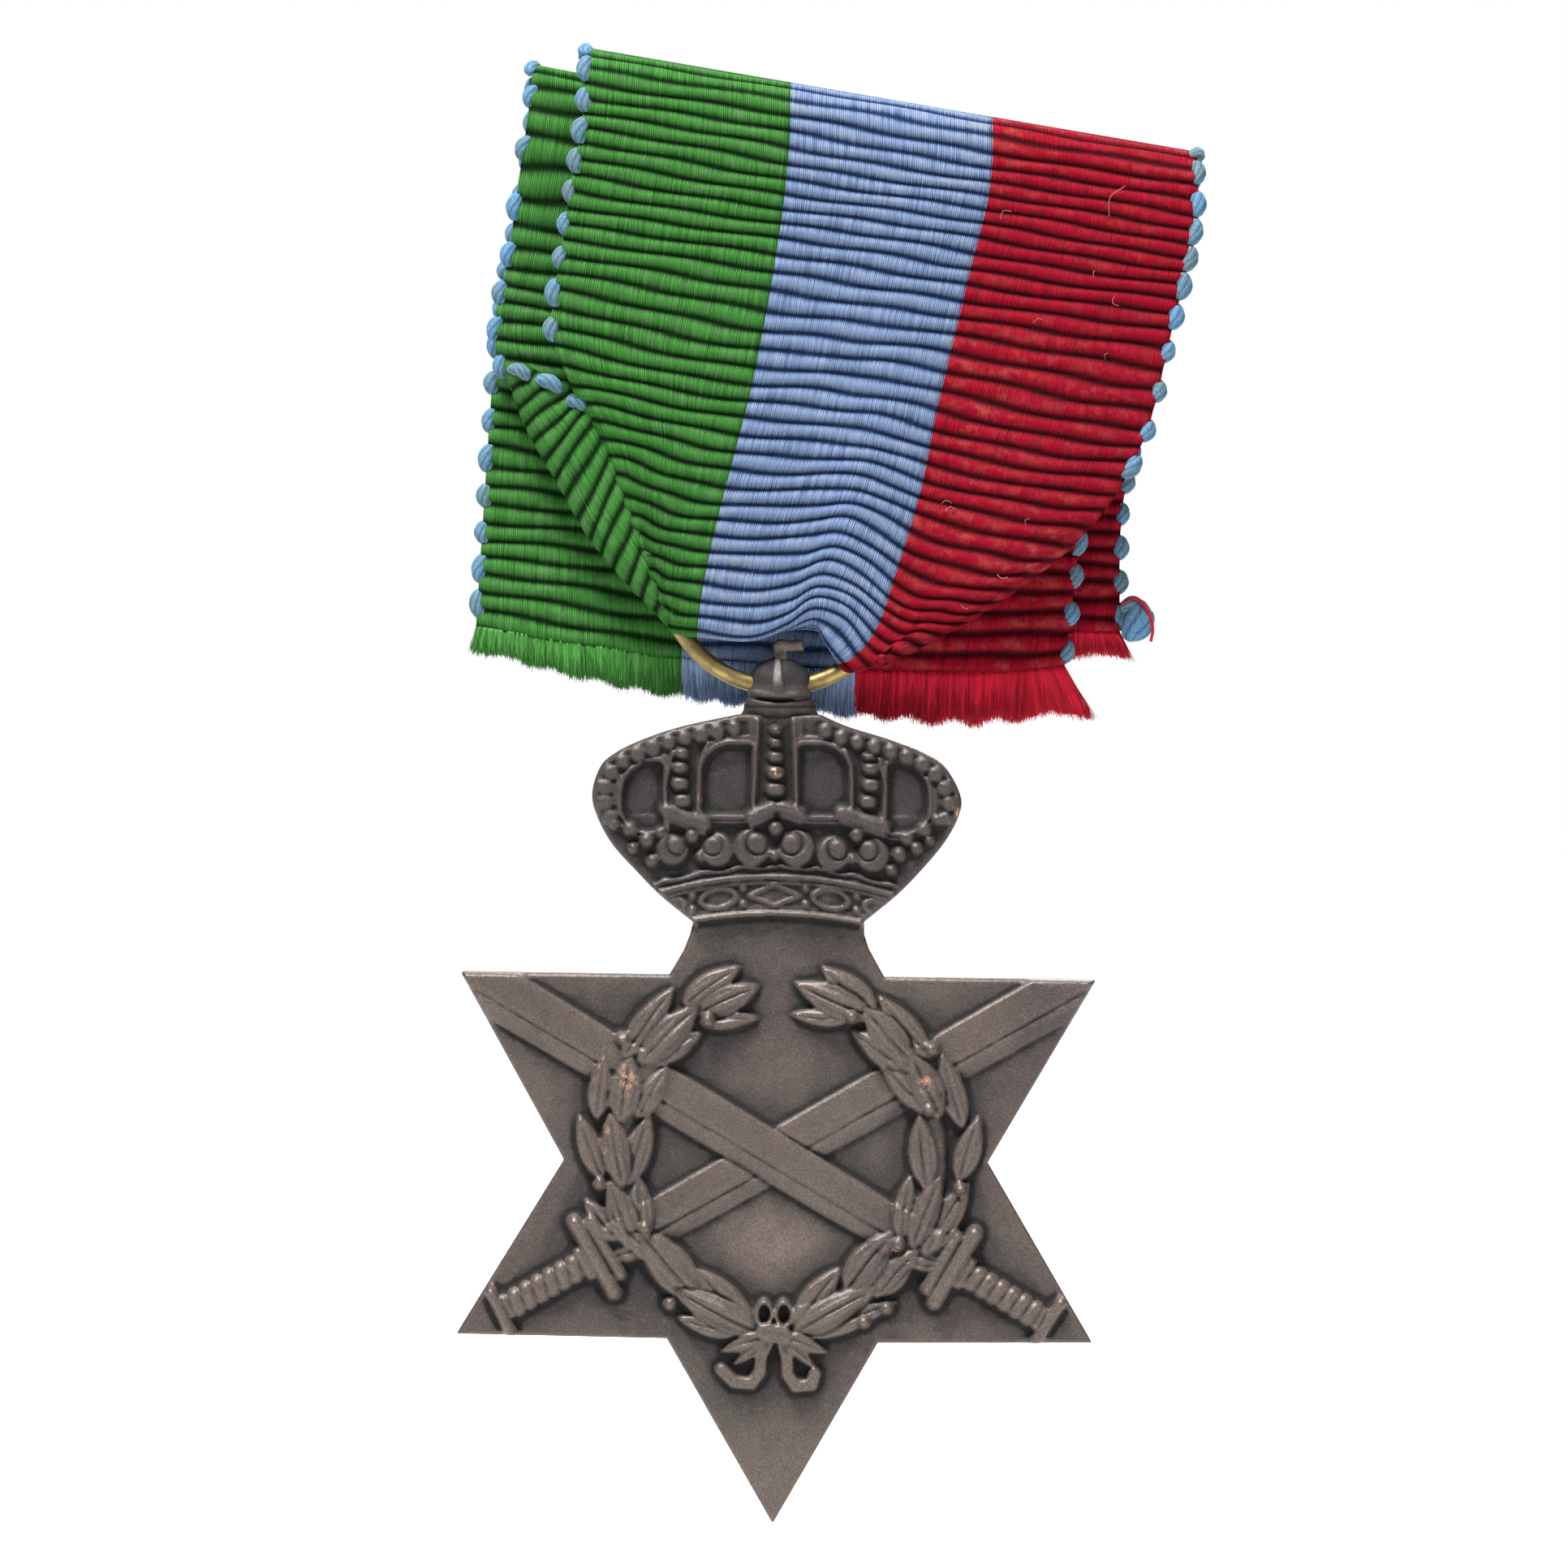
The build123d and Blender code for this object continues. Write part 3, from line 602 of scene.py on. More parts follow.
SIDE_BEADS = [(5.60, 26.65, 0.36, 0.32), (5.92, 25.8, 0.48, 0.38), (6.03, 24.9, 0.54, 0.42),
              (6.03, 23.88, 0.60, 0.47), (5.87, 22.8, 0.60, 0.48)]
DISCS = [(-6.75, 19.72, 0.92), (-3.9, 19.7, 0.95), (-1.7, 19.85, 1.06), (1.12, 19.85, 1.06),
         (3.45, 19.5, 0.98), (5.95, 19.45, 0.98)]
PELLETS = [(-5.5, 20.6, 0.52), (-0.2, 21.1, 0.54), (4.9, 20.7, 0.52), (-4.95, 19.3, 0.42),
           (-0.27, 19.4, 0.40), (4.65, 19.2, 0.40), (-10.4, 21.3, 0.42), (-9.4, 21.0, 0.52),
           (-8.35, 20.3, 0.55), (-9.2, 19.8, 0.40), (-8.0, 19.0, 0.48), (-7.5, 20.8, 0.38),
           (8.1, 20.5, 0.50), (9.2, 21.1, 0.52), (10.0, 21.7, 0.42), (7.6, 19.5, 0.52),
           (8.7, 19.9, 0.45), (7.1, 18.5, 0.40), (9.5, 20.4, 0.35)]
BRACKETS = [((-1.75, 21.85), (-0.45, 22.45), 0.40), ((0.2, 22.45), (1.35, 22.05), 0.40),
            ((-7.15, 22.2), (-4.75, 21.35), 0.46), ((4.0, 22.1), (6.6, 21.25), 0.46)]
BRACKET_KNOBS = [(-4.65, 21.3, 0.5), (6.7, 21.2, 0.5), (-1.8, 21.75, 0.42), (1.45, 21.9, 0.42)]


def oval_bead(u, v, x, y, half_wide, half_tall, height):
    reach = np.abs((u - x) / half_wide) ** 2.6 + np.abs((v - y) / half_tall) ** 2.2
    return height * np.clip(1 - reach**1.4, 0, 1) ** 0.5


def crown(u, v, edge):
    """Relief of the crown: cap, windows, beaded arches, brackets, leaf row and band."""
    x = np.abs(u - CROWN_SHIFT)
    band_top = 18.0 - 1.1 * (x / 7.4) ** 2
    band_base = 15.75 - 0.50 * (x / 5.3) ** 2
    height = np.where(v < band_top, BAND_LEVEL, CAP_LEVEL)

    def raise_to(shape, low, high):
        """Raises the relief where shape is above zero, from low to high."""
        nonlocal height
        height = np.maximum(height, np.where(shape > 0, low + (high - low) * shape, 0))

    for centre, half, top, bottom, inner in WINDOWS:
        d = round_box(x, v, centre, half, top, bottom, inner, 1)
        height = np.where(d < 0, WINDOW_LEVEL, height)
        raise_to(ridge(d - 0.16, 0.22), CAP_LEVEL, 0.58)
        raise_to(ridge(d - 0.48, 0.15), CAP_LEVEL, 0.46)

    sides = []
    for heights, distances in ARCH_SIDES:
        middle = np.interp(v, heights, distances)
        sides.append(middle)
        strip = ridge(x - middle, 0.22) * (v > heights[0]) * (v < heights[-1])
        raise_to(strip, CAP_LEVEL, 0.62)
    side_arch = (x > sides[1] + 0.16) & (x < sides[2] - 0.16) & (v < 26.7)
    channel = (x < sides[0] - 0.2) | side_arch
    height = np.where(channel & (v > 22.2), np.minimum(height, 0.20), height)
    for bead_v, wide, tall in CENTRE_BEADS:
        raise_to(oval_bead(u, v, CROWN_SHIFT, bead_v, wide, tall, 1.0), 0.25, 0.78)
    for bead_x, bead_v, wide, tall in SIDE_BEADS:
        raise_to(oval_bead(x, v, bead_x, bead_v, wide, tall, 1.0), 0.25, 0.74)

    rim_channel = (edge > 0.32) & (edge < 1.30) & (v > 21.5) & (x > 1.7) & (height > 0.3)
    height = np.where(rim_channel, 0.22, height)
    for points in (RIGHT_CROWN, LEFT_CROWN[::-1]):
        rim = crown_curve(points, 200)
        rim = rim[(rim[:, 1] > 21.0) & (np.abs(rim[:, 0]) > 2.2)]
        walked = np.concatenate([[0], np.cumsum(np.hypot(*np.diff(rim, axis=0).T))])
        count = int(walked[-1] / 1.13)
        for k in range(count):
            at = (k + 0.5) / count * walked[-1]
            px, pv = (np.interp(at, walked, rim[:, i]) for i in (0, 1))
            inward = np.array([-px * 0.5, 22.8 - pv])
            inward *= 0.80 / np.hypot(*inward)
            half = 0.52 + 0.04 * math.sin(7.0 * k + px)
            raise_to(oval_bead(u, v, px + inward[0], pv + inward[1], half, half, 1.0), 0.22, 0.56)

    leaf_zone = (v < 21.9) & (v > band_top)
    height = np.where(leaf_zone & (height <= CAP_LEVEL), 0.10, height)
    for start, end, radius in BRACKETS:
        raise_to(rod(u, v, start, end, 1.15 * radius, 1.0), 0.30, 0.74)
        raise_to(rod(u, v, np.array(start) - (0, 0.55), np.array(end) - (0, 0.55), 0.24, 1.0),
                 0.25, 0.5)
    for bx, bv, size in BRACKET_KNOBS + PELLETS:
        raise_to(ball(u, v, bx, bv, size, 1.0), 0.15, 0.66)
    for cx, cv, size in DISCS:
        size = 1.12 * size
        reach = np.hypot(u - cx, v - cv) / size
        nearest = min((-5.5, -0.2, 4.9), key=lambda px: abs(px - cx))
        cup_u = cx + 0.28 * np.sign(nearest - cx) * size
        dome = 0.20 + 0.46 * np.sqrt(np.clip(1 - (0.85 * reach) ** 2, 0, 1))
        curl = np.hypot(u - cup_u, v - cv - 0.30) / size
        dome -= 0.24 * np.exp(-((curl - 0.60) / 0.09) ** 2)
        height = np.where(reach < 1, np.maximum(dome, 0.1), height)
    scallop = 18.75 - 1.15 * (x / 7.4) ** 2 - 0.20 * np.abs(np.sin(np.pi * u / 2.42))
    raise_to(ridge(v - scallop, 0.26), 0.18, 0.42)
    smooth_band = (v < scallop - 0.1) & (v > band_top)
    height = np.where(smooth_band, 0.16 + 0.10 * (scallop - v), height)

    for curve, width, top in ((band_top + 0.05, 0.30, 0.56), (band_top - 0.32, 0.20, 0.44),
                              (band_base - 0.05, 0.42, 0.60), (band_base + 0.36, 0.16, 0.36)):
        raise_to(ridge(v - curve, width), BAND_LEVEL, top)
    mid = (band_top + band_base) / 2
    lozenge = (np.abs(x) / 1.60 + np.abs(v - mid) / 0.66 - 1) * 0.6
    oval = (np.hypot((x - 3.55) / 1.12, (v - mid) / 0.58) - 1) * 0.6
    end_oval = (np.hypot((x - 6.45) / 0.75, (v - mid) / 0.45) - 1) * 0.5
    for shape in (lozenge, oval, end_oval):
        raise_to(ridge(shape, 0.17), BAND_LEVEL, 0.48)
    for cx, spread in ((1.98, 0.50), (5.2, 0.46)):
        for dv in (-spread, spread):
            raise_to(ball(x, v - mid, cx, dv, 0.23, 1.0), BAND_LEVEL, 0.52)
    return height + uneven(u.shape, 9, 0.022) + uneven(u.shape, 4, 0.012)


def blurred(field, sigma):
    """Gaussian blur of a grid, sigma in grid steps."""
    reach = int(3.5 * sigma) + 1
    kernel = np.exp(-0.5 * (np.arange(-reach, reach + 1) / sigma) ** 2)
    kernel /= kernel.sum()
    for axis in (0, 1):
        padded = np.pad(field, [(reach, reach) if a == axis else (0, 0) for a in (0, 1)], "edge")
        size = field.shape[axis]
        field = sum(weight * np.take(padded, range(k, k + size), axis)
                    for k, weight in enumerate(kernel))
    return field


def uneven(shape, sigma, amount):
    """Smooth random unevenness of a grid, about amount high."""
    field = blurred(rng.standard_normal(shape), sigma)
    return amount * field / field.std()


def relief_height(u, v, signed):
    """Height of the whole face over the field, before it is scaled."""
    edge = -signed
    field = uneven(u.shape, 30, 0.022) + uneven(u.shape, 8, 0.012) + uneven(u.shape, 2.5, 0.005)
    under = blade(u, v, SWORDS["under"], 0.36)
    over = blade(u, v, SWORDS["over"], 0.44)
    _, beside, _ = along_line(u, v, *SWORDS["over"])
    under = under * (1 - 0.45 * smooth(BLADE_HALF + 0.5, BLADE_HALF + 0.1, np.abs(beside)))
    star = np.maximum.reduce([under, over, hilt(u, v, SWORDS["under"]), hilt(u, v, SWORDS["over"]),
                              np.zeros_like(u)])
    star = add_wreath(star, u, v)
    tied = bow(u, v)
    star = laid_over(star, tied > 0.05, tied)
    in_crown = (v > 15.55 - 0.50 * (np.abs(u - CROWN_SHIFT) / 5.3) ** 2) & (np.abs(u) < 12.5)
    height = np.where(in_crown, crown(u, v, edge), star) + field
    height = blurred(height, 1.3)
    return height - 0.16 * (1 - smooth(0.0, 0.22, edge)) ** 1.5


def without_loose_cells(keep):
    """Drops cells that hang on the rest by a corner or a single side."""
    for _ in range(4):
        padded = np.pad(keep, 1)
        beside = sum(np.roll(padded, step, axis)[1:-1, 1:-1].astype(int)
                     for step in (-1, 1) for axis in (0, 1))
        keep = keep & (beside >= 2)
    return keep


def back_plate(rim_x, rim_z, signed, u, v):
    """The flat back inside its chamfer, as vertices and triangles."""
    step = int(1.4 / GRID)
    inner = signed[::step, ::step] < -1.2
    points = [mathutils.Vector(p) for p in zip(rim_x, rim_z)]
    edge = list(range(len(points)))
    points += [mathutils.Vector(p) for p in zip(u[::step, ::step][inner],
                                                v[::step, ::step][inner] + STAR_Z)]
    flat, _, triangles, *_ = mathutils.geometry.delaunay_2d_cdt(points, [], [edge], 1, 1e-4)
    flat = np.array([tuple(p) for p in flat])
    triangles = np.array(triangles)
    a, b, c = (flat[triangles[:, i]] for i in range(3))
    turn = (b[:, 0] - a[:, 0]) * (c[:, 1] - a[:, 1]) - (b[:, 1] - a[:, 1]) * (c[:, 0] - a[:, 0])
    triangles = np.where((turn > 0)[:, None], triangles[:, ::-1], triangles)
    return np.stack([flat[:, 0], np.full(len(flat), BACK_Y), flat[:, 1]], -1), triangles


def add_patina(piece, **amounts):
    """The numbers that the bronze reads at each vertex; what isn't given is zero."""
    for name in ("wear", "bright", "cap", "halo", "glow"):
        add_numbers(piece, name, amounts.get(name, np.zeros(len(piece.data.vertices))))


def surface_tones(u, v, signed, height):
    """Wear and painted highlight on what stands out, dark halos round the relief, and painted light on
    the field: painted highlights below the middle and on the bottom arm, a darker patch about the bow's
    ends.
    """
    hollow = height - blurred(np.where(signed < 0, height, 0.0), 2.6)
    wear = np.clip(hollow / 0.16, -1, 1)
    # the star's high relief painted lighter: partly rubbed wear, partly painted highlight
    wear += 0.3 * smooth(0.28, 0.42, height) * smooth(15.0, 14.0, v)
    halo = np.clip((height - blurred(np.where(signed < 0, height, 0.0), 11.0)) / 0.22, -1, 1)
    halo = np.where(signed > -1.2, np.maximum(halo, -0.25), halo)
    # painted light on the field: painted highlights below the middle and on the bottom arm, and a
    # darker patch about the bow's ends
    glow = np.exp(-(((u - 0.6) / 4.2) ** 2 + ((v + 5.4) / 2.6) ** 2)) \
        + 0.5 * np.exp(-(((u + 3.2) / 2.0) ** 2 + ((v + 2.6) / 1.8) ** 2)) \
        + 0.45 * smooth(16.0, 21.0, -v) - 0.9 * np.exp(-((u / 6.5) ** 2 + ((v + 14.2) / 2.2) ** 2))
    glow = glow * smooth(0.30, 0.12, height)
    wear = np.where(signed > -0.35, np.maximum(wear, 0.8 * smooth(0.25, 0.05, -signed)), wear)
    return wear, halo, glow


def cells_inside(outline, u, v):
    """Which grid vertices the medal's face uses, and its quads among those."""
    middle = distance_to(outline, (u[1:, 1:] + u[:-1, :-1]) / 2, (v[1:, 1:] + v[:-1, :-1]) / 2)
    keep = without_loose_cells(middle < 0)
    rows, columns = np.nonzero(keep)
    width = u.shape[1]
    quads = np.stack([rows * width + columns, rows * width + columns + 1,
                      (rows + 1) * width + columns + 1, (rows + 1) * width + columns], -1)
    used, packed = np.unique(quads, return_inverse=True)
    return used, packed.reshape(-1, 4)


def border_loop(quads, count):
    """The vertices along the border of a mesh of quads, in order."""
    edges = np.concatenate([quads[:, [i, (i + 1) % 4]] for i in range(4)])
    key = np.minimum(edges[:, 0], edges[:, 1]) * count + np.maximum(edges[:, 0], edges[:, 1])
    _, first, counts = np.unique(key, return_index=True, return_counts=True)
    border = edges[first[counts == 1]]
    follows = dict(border.tolist())
    start = border[0, 0]
    loop = [start]
    while follows[loop[-1]] != start:
        loop.append(follows[loop[-1]])
    return np.array(loop)


RELIEF, RELIEF_LOSS = 1.32, 0.14       # scale of the relief, and how much less on the crown
PITTING = 0.006
CHAMFER = 0.22             # along the back's edge


def build_medal():
    """The struck piece: the relief on a grid trimmed to the outline, its rim and its flat back."""
    half_width = STAR_TIP * math.cos(math.radians(30)) + 3 * GRID
    u, v = np.meshgrid(np.arange(-half_width, half_width, GRID / 2),
                       np.arange(-STAR_TIP - 3 * GRID, CROWN_TOP + 3 * GRID, GRID / 2))
    outline = medal_outline()
    signed = distance_to(outline, u, v)
    height = relief_height(u, v, signed)
    u, v, signed, height = (field[::2, ::2] for field in (u, v, signed, height))
    raised = height * (RELIEF - RELIEF_LOSS * smooth(14.0, 16.0, v))
    height = np.where(signed < -0.1, raised, height)
    height = height + PITTING * rng.standard_normal(u.shape)
    wear, halo, glow = surface_tones(u, v, signed, height)
    used, quads = cells_inside(outline, u, v)
    loop = border_loop(quads, len(used))

    # the rim follows the outline, and the face bends down to it
    inv, inu = (g.ravel()[used] for g in np.gradient(blurred(signed, 5.0), GRID))
    gv, gu = np.gradient(signed, GRID)
    size = np.hypot(gu, gv) + 1e-9
    gu, gv = (gu / size).ravel()[used], (gv / size).ravel()[used]
    uu, vv, hh, dd, ww, halo, glow = (a.ravel()[used]
                                      for a in (u, v, height, signed, wear, halo, glow))
    uu[loop] -= dd[loop] * gu[loop]
    vv[loop] -= dd[loop] * gv[loop]
    hh[loop] = np.minimum(hh[loop], hh[loop] * 0.5 - 0.1)
    front = np.stack([uu, FIELD_Y - hh, vv + STAR_Z], -1)

    vertices, faces = [front], [quads[:, ::-1].tolist()]
    previous = loop
    total = len(front)
    for y, inset in ((BACK_Y - CHAMFER, 0.0), (BACK_Y - 0.06, 0.07), (BACK_Y, CHAMFER)):
        ring = np.stack([uu[loop] - inset * inu[loop], np.full(len(loop), y),
                         vv[loop] - inset * inv[loop] + STAR_Z], -1)
        index = total + np.arange(len(loop))
        total += len(loop)
        vertices.append(ring)
        faces.append(np.stack([previous, np.roll(previous, -1), np.roll(index, -1), index],
                              -1).tolist())
        previous = index
    back, triangles = back_plate(ring[:, 0], ring[:, 2], signed, u, v)
    vertices.append(back)
    faces.append((triangles + total).tolist())
    total += len(back)
    piece = make_object("struck_medal", np.concatenate(vertices),
                        [f for group in faces for f in group])
    bright = np.zeros(len(front))
    for x, y, rx, ry in RUBBED:
        bright = np.maximum(bright, smooth(1.0, 0.3, np.hypot((uu - x) / rx, (vv - y) / ry)))

    def extended(values, rest=0.0):
        """The face's values, and rest on the rim and the back."""
        return np.concatenate([values, np.full(total - len(front), rest)])

    add_patina(piece, wear=extended(ww, 0.12), bright=extended(bright),
               cap=extended(smooth(14.5, 18.0, vv)), halo=extended(halo), glow=extended(glow))
    return piece


# ---------------------------------------------------------------- orb, cross and ring

BORE_RADIUS, BORE_SIDES = 0.86, 48


def build_orb():
    """Flattened orb: banded dome, raised equator, sunk line, lower bowl and flared foot."""
    rows, columns = 110, 144
    base_z = ORB_LOW[2] - 0.25
    top_z = base_z + 3.85
    share = np.linspace(0, 1, rows)
    knots = [0, 0.05, 0.12, 0.22, 0.30, 0.345, 0.40, 0.50, 0.62, 0.76, 0.89, 0.97, 1.0]
    radii = [2.75, 2.55, 2.34, 2.26, 2.18, 2.10, 2.26, 2.20, 2.08, 1.84, 1.38, 0.82, 0.45]
    depths = [0.85, 1.0, 1.25, 1.42, 1.40, 1.30, 1.55, 1.52, 1.40, 1.15, 0.80, 0.5, 0.35]
    radius = curve_through(knots, np.array(radii), share)[:, None]
    depth = curve_through(knots, np.array(depths), share)[:, None]
    a, s = np.meshgrid(np.linspace(0, 2 * np.pi, columns, endpoint=False), share)
    x = radius * np.sin(a)
    band = smooth(0.34 + 0.45 * (0.8 - s), 0.22 + 0.45 * (0.8 - s), np.abs(x + 0.15)) \
        * smooth(0.46, 0.56, s)
    middle = smooth(1.45, 0.75, np.abs(x + 0.3))
    slot = np.exp(-((s - 0.345) / 0.028) ** 2) * middle
    equator = np.exp(-((s - 0.435) / 0.045) ** 2)
    y = -(depth + 0.16 * band - 0.30 * slot) * np.cos(a)
    sag = 0.20 * np.cos(x * 0.9)
    z = base_z + (top_z - base_z) * s - sag * smooth(0.12, 0.35, s) * smooth(0.7, 0.45, s)
    dents = 0.035 * np.sin(2.1 * x + 3.0 * z) + 0.03 * np.sin(4.3 * x - 2.2 * z + 1.0)
    y = y + np.where(y < 0, dents, 0)
    vertices = np.stack([x, MEDAL_Y + y, z], -1).reshape(-1, 3)
    dark_sides = -0.42 * smooth(0.5, 0.6, s) * (1 - band)
    # the raised equator's front gets a painted highlight; the band is rubbed lighter, the dome darker
    # at its sides, and the slot, a line round the lower bowl and the foot dark
    wear = (0.22 * band - 1.2 * slot + 0.9 * equator * smooth(2.0, 1.4, np.abs(x)) + dark_sides
            - 0.5 * np.exp(-((s - 0.20) / 0.03) ** 2) - 0.4 * smooth(0.1, 0.02, s)).ravel()
    orb = make_object("orb", vertices, tube_faces(rows, columns))
    add_patina(orb, wear=wear, cap=np.ones(len(wear)), halo=np.minimum(wear, 0))

    bore_z = RING_LOW[2] + (RING_HIGH[1] - RING_LOW[1]) / 2
    turns = np.linspace(0, 2 * np.pi, BORE_SIDES, endpoint=False)
    drill = np.concatenate([np.stack([np.full(BORE_SIDES, x0), MEDAL_Y + BORE_RADIUS * np.cos(turns),
                                      bore_z + BORE_RADIUS * np.sin(turns)], -1) for x0 in (-4, 4)])
    cut = make_object("drill", drill, tube_faces(2, BORE_SIDES))
    modifier = orb.modifiers.new("bore", "BOOLEAN")
    modifier.operation, modifier.object, modifier.solver = "DIFFERENCE", cut, "EXACT"
    bpy.context.view_layer.update()
    solid = bpy.data.meshes.new_from_object(orb.evaluated_get(bpy.context.evaluated_depsgraph_get()))
    orb.modifiers.clear()
    orb.data = solid
    bpy.data.objects.remove(cut)
    return orb


def bar(x0, x1, z0, z1, half_depth, waist):
    """A worn bar with rounded edges, as a squared-off tube along its longer side."""
    rows, columns = 14, 32
    t = np.linspace(-1, 1, rows)
    a = np.linspace(0, 2 * np.pi, columns, endpoint=False)
    tall = (z1 - z0) > (x1 - x0)
    section = [np.sign(wave) * np.abs(wave) ** 0.55 for wave in (np.cos(a), np.sin(a))]
    vertices = []
    for step in t:
        pinch = (1 - abs(step) ** 9) ** 0.5 * (1 - waist * math.cos(step * 1.5)) + 0.02
        for c, s in zip(*section):
            depth = half_depth * s * pinch
            if tall:
                vertices.append(((x0 + x1) / 2 + (x1 - x0) / 2 * c * pinch, MEDAL_Y + depth,
                                 ((z0 + z1) + (z1 - z0) * step) / 2))
            else:
                vertices.append((((x0 + x1) + (x1 - x0) * step) / 2, MEDAL_Y - depth,
                                 (z0 + z1) / 2 + (z1 - z0) / 2 * c * pinch))
    return np.array(vertices), tube_faces(rows, columns, flip=not tall)


def build_cross():
    """What is left of the cross: the upright with one arm, a little uneven."""
    top = ORB_HIGH[2]
    vertices, faces = joined([bar(-0.48, 0.50, top - 1.75, top - 0.06, 0.44, 0.10),
                              bar(-0.50, 1.58, top - 0.82, top - 0.02, 0.43, 0.06)])
    vertices = vertices + 0.04 * np.sin(vertices[:, [1, 2, 0]] * 6.1 + 1.0)
    cross = make_object("cross", vertices, faces)
    add_patina(cross, wear=0.55 + 0.3 * np.sin(vertices[:, 0] * 5))
    return cross


def build_ring():
    """Wire ring with small flats and dents and the closed joint at its top."""
    columns, sides = 360, 28
    big = (RING_HIGH[0] - RING_LOW[0]) / 2
    wire = (RING_HIGH[1] - RING_LOW[1]) / 2
    big -= wire
    turn = np.linspace(0, 2 * np.pi, columns, endpoint=False)
    around = np.linspace(0, 2 * np.pi, sides, endpoint=False)
    a, b = np.meshgrid(turn, around, indexing="ij")
    joint = np.exp(-((np.mod(a - np.pi / 2 + np.pi, 2 * np.pi) - np.pi) / 0.012) ** 2)
    dent = 0.012 * np.sin(9 * a + 1) + 0.010 * np.sin(23 * a + 2 * b) + 0.05 * joint
    r = wire - 0.012 - np.abs(dent) * 0.8
    x = (big + r * np.cos(b)) * np.cos(a)
    z = (big + r * np.cos(b)) * np.sin(a)
    vertices = np.stack([x, MEDAL_Y + r * np.sin(b), RING_Z + z], -1).reshape(-1, 3)
    quads = np.array(grid_faces(columns + 1, sides, wrap=True)) % (columns * sides)
    ring = make_object("wire_ring", vertices, quads.tolist())
    add_vectors(ring, "wire", np.stack([a * big, b * wire, 0 * a], -1).reshape(-1, 3))
    return ring


# ---------------------------------------------------------------- the ribbon
# One strip of cloth, given as rows of nine points across it, from the end of the outer
# tail over the top, down the front, through the ring, up the back, over the top again and
# down the inner tail.  The points sit at the selvedges, the two colour changes, and
# between them.  Each row says how many ribs along the strip it lies.

ACROSS = [0.0, 0.335, 0.45, 0.51, 0.57, 0.617, 0.665, 0.83, 1.0]
STRIPES = {"green": (0.0, 0.335), "blue": (0.335, 0.665), "red": (0.665, 1.0)}
RIB = 1.2                  # length of flat cloth in one rib
FRONT_Y, REAR_Y, INNER_Y, OUTER_Y = (
    sum(node_box(f"{name}_blue")[i][1] for i in (0, 1)) / 2
    for name in ("front_fall", "rear_fall", "inner_tail", "outer_tail"))
SLOPE = math.tan(math.radians(9.3))    # how steeply the ribbon's top falls to the right


def straight_row(rib, y, left, right, bulge=0.0):
    """A row whose points lie on a line between two (x, z) ends."""
    t = np.array(ACROSS)
    x = left[0] + t * (right[0] - left[0])
    z = left[1] + t * (right[1] - left[1]) - bulge * np.sin(np.pi * t)
    return rib, np.stack([x, np.full(len(ACROSS), y), z], -1)


def bent_row(rib, y, xs, zs, ys=None):
    """A row whose nine points are given; ys is how far each is behind y."""
    depth = np.full(len(ACROSS), y) if ys is None else y + np.array(ys)
    return rib, np.stack([np.array(xs, float), depth, np.array(zs, float)], -1)


